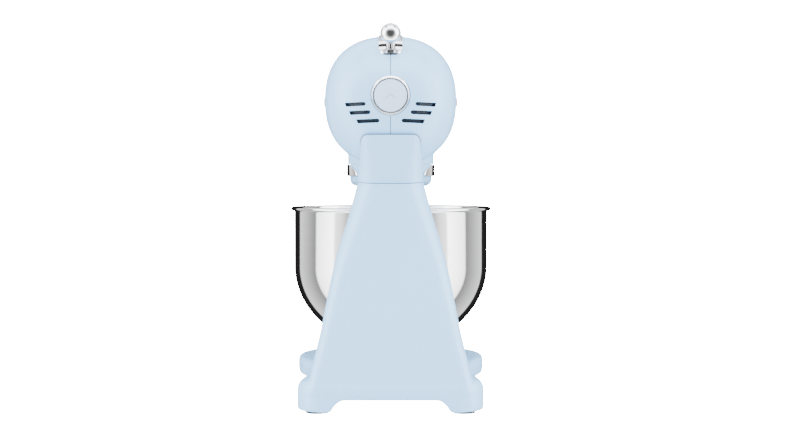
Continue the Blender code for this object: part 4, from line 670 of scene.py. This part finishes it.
def make_lever():
    """Ball, fluted stem sleeve and the shoe under it."""
    turn = Matrix.Translation(PIVOT) @ Matrix.Rotation(-LEVER_ANGLE, 4, "X") @ Matrix.Translation(-PIVOT)
    centre = PIVOT + Vector((0, 0, BALL_REACH))
    profile = arc((0, 0), BALL_R, -math.pi / 2 + 0.37, math.pi / 2 - 0.05, 48)
    ball = turned("lever_ball", profile, centre, "Z", 96, solid=True)
    cut(ball, rod("socket", centre, "Z", STEM_R + GAP, -0.03, -4.3 * MM, 64))
    flutes = 14
    per_flute = 8
    count = flutes * per_flute
    sleeve_low = 61 * MM
    sleeve_high = BALL_REACH - 9.9 * MM
    rings = []
    for share in (0, 0.04, 0.5, 1):
        z = sleeve_low + (sleeve_high - sleeve_low) * share
        chamfer = 0.2 * MM if share == 0 else 0
        ring = []
        for k in range(count):
            r = STEM_R + 0.22 * MM + 0.13 * MM * math.cos(FULL * k / per_flute) - chamfer
            around = FULL * k / count
            ring.append((PIVOT.x + r * math.cos(around), PIVOT.y + r * math.sin(around), PIVOT.z + z))
        rings.append(ring)
    sleeve = loft("stem_sleeve", rings, sharp=60)
    cut(sleeve, rod("core", PIVOT, "Z", STEM_R + 0.02 * MM, 0.03, 0.1, 64))
    for piece in (ball, sleeve):
        piece.data.transform(turn)
    shoe = dome_sector("stem_shoe", STEM_R + 0.1 * MM, LEVER_ANGLE + SHOE_TAIL, LEVER_ANGLE - SHOE_TAIL / 2,
                       HEAD_HALF_HEIGHT + 1.7 * MM, HEAD_HALF_HEIGHT + 3.6 * MM, 24)
    place(rounded(shoe, 0.6 * MM, 4), "speed_lever", "chrome")
    place(ball, "speed_lever", "chrome", "lever_knob")
    place(sleeve, "speed_lever", "chrome")


def make_chin():
    """Planetary housing, its chrome band and the turning skirt."""
    low_z = HOUSING_LOW.z
    band_low = BAND_LOW.z
    low_r = COLLAR_R - 2.3 * MM
    inner = COLLAR_R - 5.5 * MM
    seat = COLLAR_R - GAP - 0.3 * MM
    web = HOUSING_HIGH.z - 5.7 * MM + 4 * MM
    lip = low_r - CHIN_ROUND - 0.7 * MM
    top = BAND_HIGH.z
    profile = [(lip, low_z + 0.6 * MM), (lip + 0.6 * MM, low_z)]
    profile += arc((low_r - CHIN_ROUND, low_z + CHIN_ROUND), CHIN_ROUND, -math.pi / 2, 0, 24)
    profile += [(low_r, band_low - GAP), (seat, band_low - GAP), (seat, top),
                (COLLAR_R - COLLAR_WALL - GAP, top), (COLLAR_R - COLLAR_WALL - GAP, web),
                (19.5 * MM, web), (19.5 * MM, web - 4 * MM), (inner, web - 4 * MM),
                (inner, low_z + 9 * MM), (lip, low_z + 9 * MM)]
    place(turned("chin_housing", profile, SPINDLE, "Z", 144), "head", "blue_paint", "planetary_housing")

    height = BAND_HIGH.z - band_low
    outer = BAND_HIGH.x
    edge = 0.45 * MM
    steps = 220
    rings = []
    for k in range(steps + 1):
        turn = -math.pi / 2 + BAND_WRAP * (2 * k / steps - 1)
        out = Vector((math.cos(turn), math.sin(turn), 0))
        past = max(0.0, abs(turn + math.pi / 2) - BAND_WRAP + BAND_TAIL) / BAND_TAIL
        high = band_low + height * max(0.12, math.sqrt(max(0.0, 1 - past ** 2)))
        section = [(seat + GAP, band_low)]
        section += arc((outer - edge, band_low + edge), edge, -math.pi / 2, 0, 5)
        section += arc((outer - edge, high - edge), edge, 0, math.pi / 2, 5)
        section += [(seat + GAP, high)]
        rings.append([SPINDLE + out * r + Vector((0, 0, z)) for r, z in section])
    place(loft("chin_strip", rings, sharp=50), "head", "chrome", "chin_band")

    disc_low = low_z + MM
    radius = low_r - CHIN_ROUND - 1.5 * MM
    flange = COLLAR_R - 6.3 * MM
    profile = [(7 * MM + GAP, disc_low + 2 * MM), (12 * MM, disc_low), (radius - 2 * MM, disc_low)]
    profile += arc((radius - 2 * MM, disc_low + 2 * MM), 2 * MM, -math.pi / 2, 0, 8)
    profile += [(radius, disc_low + 9 * MM), (flange, disc_low + 9 * MM), (flange, disc_low + 11.5 * MM),
                (14 * MM, disc_low + 11.5 * MM), (14 * MM, disc_low + 15 * MM),
                (7 * MM + GAP, disc_low + 15 * MM)]
    skirt = turned("planetary_skirt", profile, SPINDLE, "Z", 128)
    spot = Vector(JOINTS["beater_spin"]["pos_m"])
    cut(skirt, rod("bore", (spot.x, spot.y, 0), "Z", 5.3 * MM, 0.1, 0.4, 64))
    place(skirt, "planetary", "chrome", "planetary_cover")


# ---------------------------------------------------------------- stand
def base_outline(count=48):
    """Plan of the base: square-shouldered rear, waist, round platform; anticlockwise."""
    corner = (BASE_HALF_WIDTH - BASE_CORNER_R, BASE_REAR_Y - BASE_CORNER_R)
    half = [(0.0, BASE_REAR_Y)]
    half += arc(corner, BASE_CORNER_R, math.pi / 2, 0, 24)
    start = half[-1]
    steps = 16
    half += [(start[0] + (WAIST_HALF_WIDTH - start[0]) * smooth_step(k / steps),
              start[1] + (WAIST_Y - start[1]) * k / steps) for k in range(1, steps)]
    leave = math.radians(10)
    meet = (PLATFORM_R * math.cos(leave), SPINDLE_Y + PLATFORM_R * math.sin(leave))
    half += [(WAIST_HALF_WIDTH + (meet[0] - WAIST_HALF_WIDTH) * smooth_step(k / steps),
              WAIST_Y + (meet[1] - WAIST_Y) * k / steps) for k in range(steps)]
    half += arc((0, SPINDLE_Y), PLATFORM_R, leave, -math.pi / 2, count)
    mirror = [(-x, y) for x, y in half[1:-1]]
    return half[::-1] + mirror


def inset(points, distance):
    """Move a closed anticlockwise outline inwards by distance(x, y)."""
    count = len(points)
    moved = []
    for k, (x, y) in enumerate(points):
        before = points[k - 1]
        after = points[(k + 1) % count]
        along = Vector((after[0] - before[0], after[1] - before[1])).normalized()
        step = distance(x, y)
        moved.append((x - along.y * step, y + along.x * step))
    return moved


def top_edge(y):
    """Radius of the base's upper edge: large at the rear, small round the platform."""
    share = smooth_step((y - SPINDLE_Y) / (WAIST_Y - SPINDLE_Y))
    return FRONT_EDGE_R + (REAR_EDGE_R - FRONT_EDGE_R) * share


def base_body(name, low, top, shrink, rounded_edge=True):
    """The base between two heights, smaller by shrink all round."""
    outline = base_outline()
    straight = inset(outline, lambda x, y: shrink)
    rings = [[(x, y, low) for x, y in straight]]
    if not rounded_edge:
        rings.append([(x, y, top) for x, y in straight])
        return loft(name, rings)
    steps = 8
    for k in range(steps + 1):
        angle = math.pi / 2 * k / steps
        flat = inset(outline, lambda x, y: shrink + top_edge(y) * (1 - math.cos(angle)))
        rings.append([(x, y, top - top_edge(y) * (1 - math.sin(angle))) for x, y in flat])
    return loft(name, rings)


def column_width(share):
    """Half-width of the column, share 0 at its foot and 1 at the neck seam, as a smooth curve."""
    knots = COLUMN_CURVE
    for k in range(len(knots) - 1):
        a, wa = knots[k]
        b, wb = knots[k + 1]
        if share <= b:
            before = knots[max(0, k - 1)]
            after = knots[min(len(knots) - 1, k + 2)]
            slope_a = (wb - before[1]) / (b - before[0])
            slope_b = (after[1] - wa) / (after[0] - a)
            t = (share - a) / (b - a)
            span = b - a
            value = ((2 * t ** 3 - 3 * t ** 2 + 1) * wa + (t ** 3 - 2 * t ** 2 + t) * span * slope_a
                     + (3 * t ** 2 - 2 * t ** 3) * wb + (t ** 3 - t ** 2) * span * slope_b)
            return COLUMN_FOOT_HALF_WIDTH + (NECK_HALF_WIDTH - COLUMN_FOOT_HALF_WIDTH) * value
    return NECK_HALF_WIDTH


def plan_ring(half_width, rear, front, z, rear_radius, steps=20):
    """A plan section: a rectangle with round corners, rounder at the front."""
    front_radius = min(1.5 * rear_radius, half_width - MM)
    rear_radius = min(rear_radius, half_width - MM)
    corners = ((1, 1, rear, rear_radius), (-1, 1, rear, rear_radius),
               (-1, -1, front, front_radius), (1, -1, front, front_radius))
    points = []
    for number, (side, end, y, radius) in enumerate(corners):
        centre = (side * (half_width - radius), y - end * radius)
        start = number * math.pi / 2
        points += [(x, y, z) for x, y in arc(centre, radius, start, start + math.pi / 2, steps)]
    return points


def above_seam(name, gap):
    """Everything above the sloping line between column and neck cover."""
    ends = (NECK_FRONT_Y - 60 * MM, NECK_REAR_Y + 60 * MM)
    heights = [SEAM_Z + (NECK_REAR_Y - y) * SEAM_SLOPE + gap for y in ends]
    outline = [(ends[0], heights[0]), (ends[1], heights[1]), (ends[1], 1), (ends[0], 1)]
    return slab(name, outline, "X", -0.3, 0.3)


def column(name, low, high, shrink, steps=60):
    """The column between two heights, smaller by shrink all round."""
    foot = BASE_UNDERSIDE + 6 * MM
    rear_foot = BASE_REAR_Y - 0.4 * MM
    rings = []
    for k in range(steps + 1):
        z = low + (high - low) * k / steps
        share = max(0.0, (z - foot) / (SEAM_Z - foot))
        rear = rear_foot + (NECK_REAR_Y - rear_foot) * share
        flare = max(0.0, 1 - share) ** 3
        front = NECK_FRONT_Y + (COLUMN_FOOT_FRONT_Y - NECK_FRONT_Y) * flare
        radius = COLUMN_CORNER_R + (NECK_CORNER_R - COLUMN_CORNER_R) * share ** 2
        width = column_width(share) - shrink
        rings.append(plan_ring(width, rear - shrink, front + shrink, z, radius - shrink))
    return loft(name, rings)


def make_pedestal():
    """Base and column in one casting with soft fillets."""
    casting = base_body("pedestal_casting", PEDESTAL_LOW.z, BASE_TOP, 0)
    join(casting, column("column", BASE_UNDERSIDE + 6 * MM, PEDESTAL_HIGH.z + 8 * MM, 0))
    low = FOOT_INNER_X
    arch = [(-low, -MM), (low, -MM), (low - MM, BASE_UNDERSIDE * 0.3), (low - 4 * MM, BASE_UNDERSIDE * 0.65),
            (low - 10 * MM, BASE_UNDERSIDE), (-low + 10 * MM, BASE_UNDERSIDE),
            (-low + 4 * MM, BASE_UNDERSIDE * 0.65), (-low + MM, BASE_UNDERSIDE * 0.3)]
    first_y = SPINDLE_Y - PLATFORM_R - 5 * MM
    cut(casting, rear_slab("arch", arch, first_y, BASE_REAR_Y + 5 * MM))
    wide = 1.3 * max(BASE_HALF_WIDTH, PLATFORM_R)
    foot_end = BASE_REAR_Y - REAR_FOOT_LENGTH
    cut(casting, box("clear", (-wide, first_y, -MM), (wide, foot_end, BASE_UNDERSIDE + 0.05 * MM)))
    for side in (-1, 1):
        spot = (side * FRONT_FOOT_X, FRONT_FOOT_Y, 0)
        join(casting, rod("foot", spot, "Z", FRONT_FOOT_R, PEDESTAL_LOW.z, BASE_TOP - 1.5 * MM, 64))
    softened(casting, 1.7 * MM, 14)
    cut(casting, above_seam("seam", -GAP))
    cavity = base_body("cavity", BASE_UNDERSIDE - MM, BASE_TOP - CASTING_WALL, CASTING_WALL, False)
    cut(casting, cavity)
    for side in (-1, 1):
        spot = (side * FRONT_FOOT_X, FRONT_FOOT_Y, 0)
        join(casting, rod("foot", spot, "Z", FRONT_FOOT_R - MM, BASE_UNDERSIDE - 2 * MM,
                          BASE_TOP - 1.5 * MM, 64))
    deck_low = SEAM_Z - GAP
    cut(casting, column("deck", deck_low, PEDESTAL_HIGH.z + 9 * MM, CASTING_WALL, 4))
    place(casting, "stand", "blue_paint", "pedestal")


def make_neck():
    """Collar on the column that cups the dome, and a dark grey strip in the gap under its lip as painted
    shade.
    """
    lip = NECK_HIGH.z
    rear_lip = NECK_HIGH.y

    def neck(name, low, shrink, top, steps=40):
        rings = []
        for k in range(steps + 1):
            z = low + (top - low) * k / steps
            share = max(0.0, (z - SEAM_Z) / (lip - SEAM_Z))
            width = NECK_HALF_WIDTH + (NECK_LIP_HALF_WIDTH - NECK_HALF_WIDTH) * smooth_step(share)
            rear = NECK_REAR_Y + (rear_lip - NECK_REAR_Y) * share ** 1.3
            radius = NECK_CORNER_R + (LIP_CORNER_R - NECK_CORNER_R) * smooth_step(share)
            rings.append(plan_ring(width - shrink, rear - shrink, NECK_FRONT_Y + shrink, z, radius - shrink))
        return loft(name, rings)

    cover = neck("neck_collar", SEAM_Z, 0, lip)
    cut(cover, neck("hollow", SEAM_Z - MM, NECK_WALL, lip - 7 * MM, 12))
    half = NECK_LIP_HALF_WIDTH
    outline = [(-0.1, 0.1), (0.1, 0.1), (0.1, lip - NECK_TOP_R - 6 * MM), (half, lip - NECK_TOP_R)]
    outline += arc((half - NECK_TOP_R, lip - NECK_TOP_R), NECK_TOP_R, 0, math.pi / 2, 14)
    outline += arc((-half + NECK_TOP_R, lip - NECK_TOP_R), NECK_TOP_R, math.pi / 2, math.pi, 14)
    outline += [(-half, lip - NECK_TOP_R), (-0.1, lip - NECK_TOP_R - 6 * MM)]
    keep(cover, rear_slab("crown", outline, 0, 0.3))
    cut(cover, head_solid("dome", DOME_GAP, 128, 6, 48))
    keep(cover, above_seam("seam", SEAM_LINE))
    place(cover, "stand", "blue_paint", "neck_cover")

    # thin dark grey strip in the gap between the cover's lip and the dome: painted shade of the gap line
    gap_shade = head_solid("neck_gap_shade_strip", DOME_GAP - 0.15 * MM, 128, 6, 48)
    keep(gap_shade, neck("blank", SEAM_Z + 4 * MM, -0.7 * MM, lip + 0.8 * MM, 20))
    rim = [(x * (1 + 0.7 * MM / half), z + 0.7 * MM) for x, z in outline[3:-1]]
    keep(gap_shade, rear_slab("crown", [(-half - MM, 0.2), (half + MM, 0.2)] + rim, PIVOT.y + 10 * MM, 0.3))
    cut(gap_shade, head_solid("dome", DOME_GAP - 0.75 * MM, 128, 6, 48))
    place(gap_shade, "stand", "seal_grey")


def make_seat():
    """Bayonet ring on the platform, with its three inner lugs."""
    low = SEAT_LOW.z
    outer = SEAT_HIGH.x
    inner = outer - 5 * MM
    edge = 1.2 * MM
    profile = [(inner, low), (outer, low)]
    profile += arc((outer - edge, SEAT_HIGH.z - edge), edge, 0, math.pi / 2, 6)
    profile += arc((inner + 0.5 * MM, SEAT_HIGH.z - 0.5 * MM), 0.5 * MM, math.pi / 2, math.pi, 4)
    seat = turned("seat_ring", profile, SPINDLE, "Z")
    for middle in LUG_TURNS:
        outline = arc((0, SPINDLE_Y), inner + 2 * MM, middle - SEAT_LUG_HALF, middle + SEAT_LUG_HALF, 16)
        outline += arc((0, SPINDLE_Y), inner - 4 * MM, middle + SEAT_LUG_HALF, middle - SEAT_LUG_HALF, 16)
        join(seat, slab("lug", outline, "Z", low + 4.5 * MM, low + 7.2 * MM))
    place(seat, "stand", "shaft_steel", "bowl_seat")


# ---------------------------------------------------------------- bowl
def bowl_radius(z, shrink):
    drop = max(0.0, BOWL_CURVE_Z - z) / (BOWL_CURVE_DEPTH - shrink)
    return (BOWL_BODY_R - shrink) * math.sqrt(max(0.0, 1 - drop ** 2))


def make_bowl():
    """Bowl with a rolled rim, its foot ring with lugs, and the handle."""
    floor = BOWL_LOW.z
    rim = BOWL_HIGH.z
    rim_r = BOWL_HIGH.x
    steps = 56
    outer = [(36 * MM, floor)]
    inner = [(35.5 * MM, floor + BOWL_WALL)]
    for k in range(1, steps + 1):
        angle = math.pi / 2 * (0.17 + 0.83 * k / steps)
        z = BOWL_CURVE_Z - BOWL_CURVE_DEPTH * math.cos(angle)
        if z > floor + 1.2 * BOWL_WALL:
            outer.append((bowl_radius(z, 0), z))
            inner.append((bowl_radius(z, BOWL_WALL), z))
    bead = (rim_r - BOWL_BODY_R + BOWL_WALL) / 2
    outer += [(BOWL_BODY_R, rim - 6 * MM), (BOWL_BODY_R + 0.3 * MM, rim - 4.6 * MM)]
    bead_centre = (rim_r - bead, rim - 2.2 * MM)
    outer += [(bead_centre[0] + bead * math.cos(a), bead_centre[1] + 2.2 * MM * math.sin(a))
              for a in (-0.9 + (0.9 + math.pi * 0.93) * k / 20 for k in range(21))]
    inner.append((BOWL_BODY_R - BOWL_WALL, rim - 4 * MM))
    bowl = turned("mixing_bowl", outer + inner[::-1], SPINDLE, "Z", 192, solid=True, sharp=50)
    place(bowl, "bowl", "bowl_steel", "bowl")

    foot_r = BOWL_FOOT_R
    edge = 0.8 * MM
    base_r = foot_r - 3.5 * MM
    profile = [(base_r, FOOT_LOW.z)]
    profile += arc((foot_r - edge, FOOT_LOW.z + edge), edge, -math.pi / 2, 0, 5)
    profile += [(foot_r, FOOT_HIGH.z), (base_r, FOOT_HIGH.z)]
    foot = turned("bowl_base_ring", profile, SPINDLE, "Z")
    for middle in LUG_TURNS:
        outline = arc((0, SPINDLE_Y), foot_r + 4 * MM, middle - FOOT_LUG_HALF, middle + FOOT_LUG_HALF, 16)
        outline += arc((0, SPINDLE_Y), foot_r - MM, middle + FOOT_LUG_HALF, middle - FOOT_LUG_HALF, 16)
        join(foot, slab("lug", outline, "Z", FOOT_LOW.z + 0.2 * MM, FOOT_LOW.z + 2.6 * MM))
    place(foot, "bowl", "bowl_steel", "bowl_foot")
    make_handle()


def make_handle():
    """D handle of flattened bar with rounded edges."""
    reach = SPINDLE_Y - HANDLE_LOW.y
    thick = 4.5 * MM
    half = HANDLE_HIGH.x
    round_r = 18 * MM - thick / 2
    top = HANDLE_HIGH.z - thick / 2
    low = HANDLE_LOW.z + thick / 2
    far = reach - thick / 2
    root = BOWL_BODY_R + GAP + 0.2 * MM
    path = [(root - 1.5 * MM, top), ((root + far - round_r) / 2, top)]
    path += arc((far - round_r, top - round_r), round_r, math.pi / 2, 0, 20)
    path += [(far, (top + low) / 2)]
    path += arc((far - round_r, low + round_r), round_r, 0, -math.pi / 2, 20)
    path += [((root + far - round_r) / 2, low), (root - 1.5 * MM, low)]
    edge = 1.9 * MM
    section = []
    for number, (sx, sn) in enumerate(((1, 1), (-1, 1), (-1, -1), (1, -1))):
        centre = (sx * (half - edge), sn * (thick / 2 - edge))
        section += arc(centre, edge, number * math.pi / 2, (number + 1) * math.pi / 2, 6)
    rings = []
    for k, (d, z) in enumerate(path):
        before = path[max(0, k - 1)]
        after = path[min(len(path) - 1, k + 1)]
        along = Vector((after[0] - before[0], after[1] - before[1])).normalized()
        normal = Vector((-along.y, along.x))
        rings.append([(x, SPINDLE_Y - d - normal.x * n, z + normal.y * n) for x, n in section])
    handle = loft("bowl_grip", rings, sharp=60)
    cut(handle, rod("wall", SPINDLE, "Z", BOWL_BODY_R + GAP, 0.0, BOWL_HIGH.z + 0.1, 192))
    place(handle, "bowl", "bowl_steel", "bowl_handle")


def make_beater():
    """Burnished flat beater: the CAD form with every edge rounded."""
    source = frame["nodes"]["flat_beater"]
    paddle = bpy.data.objects.new("beater_paddle", source.data.copy())
    bpy.context.scene.collection.objects.link(paddle)
    softened(paddle, 0.8 * MM, 10)
    place(paddle, "beater", "beater_grey", "flat_beater")


# ---------------------------------------------------------------- carried-over CAD nodes
def dress_nodes():
    """Procedural materials on every CAD node, and small rounds on the hard edges of the foot pads, cord
    gland and base cover.
    """
    for name, node in frame["nodes"].items():
        for slot in node.material_slots:
            key = slot.material.name.split(".")[0]
            slot.material = LOOKS[key]
    for name in ("foot_pad_front_left", "foot_pad_front_right", "foot_pad_rear_left",
                 "foot_pad_rear_right", "cord_gland", "base_cover"):
        rounded(frame["nodes"][name], 0.5 * MM, 3)


# ---------------------------------------------------------------- light, floor and camera
def make_world():
    """White for the camera, even soft light for matt faces and banded soft boxes for gloss."""
    world = bpy.data.worlds.new("studio")
    bpy.context.scene.world = world
    world.use_nodes = True
    tree = world.node_tree
    tree.nodes.clear()
    output = tree.nodes.new("ShaderNodeOutputWorld")
    backdrop = background(tree, (1, 1, 1), BACKDROP)
    even = background(tree, COOL_WHITE, STUDIO)
    boxes = background(tree, (1, 1, 1), 1.0)
    coordinate = tree.nodes.new("ShaderNodeTexCoord")
    split = tree.nodes.new("ShaderNodeSeparateXYZ")
    tree.links.new(coordinate.outputs["Generated"], split.inputs["Vector"])
    shift = ranged(tree, split.outputs["Y"], -1, 1)
    around = grey_ramp(tree, BOX_STOPS, shift)
    overhead = grey_ramp(tree, STRIP_STOPS, shift)
    rise = ranged(tree, split.outputs["Z"], 0.45, 0.6)
    blend = tree.nodes.new("ShaderNodeMix")
    blend.data_type = "RGBA"
    tree.links.new(rise, blend.inputs["Factor"])
    tree.links.new(around, blend.inputs["A"])
    tree.links.new(overhead, blend.inputs["B"])
    scaled = tree.nodes.new("ShaderNodeVectorMath")
    scaled.operation = "SCALE"
    scaled.inputs["Scale"].default_value = BOX_STRENGTH
    tree.links.new(blend.outputs["Result"], scaled.inputs[0])
    tree.links.new(scaled.outputs["Vector"], boxes.inputs["Color"])
    unseen = by_ray(tree, "Is Glossy Ray", even.outputs["Background"], boxes.outputs["Background"])
    seen = by_ray(tree, "Is Camera Ray", unseen, backdrop.outputs["Background"])
    tree.links.new(seen, output.inputs["Surface"])


def by_ray(tree, kind, other, matching):
    """The matching shader for rays of that kind, the other one for the rest."""
    path = tree.nodes.new("ShaderNodeLightPath")
    made = tree.nodes.new("ShaderNodeMixShader")
    tree.links.new(path.outputs[kind], made.inputs["Fac"])
    tree.links.new(other, made.inputs[1])
    tree.links.new(matching, made.inputs[2])
    return made.outputs["Shader"]


def grey_ramp(tree, stops, position):
    made = tree.nodes.new("ShaderNodeValToRGB")
    while len(made.color_ramp.elements) < len(stops):
        made.color_ramp.elements.new(0.5)
    for element, (place_at, value) in zip(made.color_ramp.elements, stops):
        element.position = place_at
        element.color = (value, value, value, 1)
    tree.links.new(position, made.inputs["Fac"])
    return made.outputs["Color"]


def background(tree, colour, strength):
    made = tree.nodes.new("ShaderNodeBackground")
    made.inputs["Color"].default_value = (*colour, 1)
    made.inputs["Strength"].default_value = strength
    return made


def ranged(tree, value, low, high):
    """value mapped from low..high to 0..1."""
    made = tree.nodes.new("ShaderNodeMapRange")
    made.inputs["From Min"].default_value = low
    made.inputs["From Max"].default_value = high
    tree.links.new(value, made.inputs["Value"])
    return made.outputs["Result"]


def make_floor():
    """A plain pale floor that runs to the horizon."""
    size = 60.0
    corners = ((-size, -size), (size, -size), (size, size), (-size, size))
    bm = bmesh.new()
    bm.faces.new([bm.verts.new((x, y, 0)) for x, y in corners])
    floor = finish_mesh("floor", bm)
    material = bpy.data.materials.new("floor_white")
    material.use_nodes = True
    tree = material.node_tree
    diffuse = tree.nodes["Principled BSDF"]
    diffuse.inputs["Base Color"].default_value = (0.9, 0.9, 0.9, 1)
    diffuse.inputs["Roughness"].default_value = 0.9
    glow = tree.nodes.new("ShaderNodeEmission")
    glow.inputs["Strength"].default_value = FLOOR_GLOW
    clear = tree.nodes.new("ShaderNodeBsdfTransparent")
    lit = by_ray(tree, "Is Camera Ray", diffuse.outputs["BSDF"], glow.outputs["Emission"])
    shown = by_ray(tree, "Is Glossy Ray", lit, clear.outputs["BSDF"])
    tree.links.new(shown, tree.nodes["Material Output"].inputs["Surface"])
    floor.data.materials.append(material)


def area_light(name, location, target, size, power):
    data = bpy.data.lights.new(name, "AREA")
    data.shape = "RECTANGLE"
    data.size, data.size_y = size
    data.energy = power
    data.color = COOL_WHITE
    lamp = bpy.data.objects.new(name, data)
    bpy.context.scene.collection.objects.link(lamp)
    lamp.location = location
    lamp.rotation_euler = (Vector(target) - Vector(location)).to_track_quat("-Z", "Y").to_euler()
    return lamp


def make_camera():
    data = bpy.data.cameras.new("camera")
    data.sensor_width = 36
    data.lens = CAMERA_LENS
    camera = bpy.data.objects.new("camera", data)
    bpy.context.scene.collection.objects.link(camera)
    camera.location = CAMERA_PLACE
    camera.rotation_euler = (CAMERA_TILT, 0, math.pi)
    bpy.context.scene.camera = camera


dress_nodes()
make_pedestal()
make_neck()
make_seat()
make_head()
make_head_trim()
make_button()
make_lever()
make_chin()
make_bowl()
make_beater()
make_floor()
make_world()
area_light("left", (-1.5, 0.35, 0.9), LIGHT_TARGET, (1.6, 1.8), SIDE_POWER)
area_light("right", (1.5, 0.35, 0.9), LIGHT_TARGET, (1.6, 1.8), SIDE_POWER)
area_light("top", (0.0, 0.5, 2.0), LIGHT_TARGET, (1.6, 1.6), TOP_POWER)
make_camera()
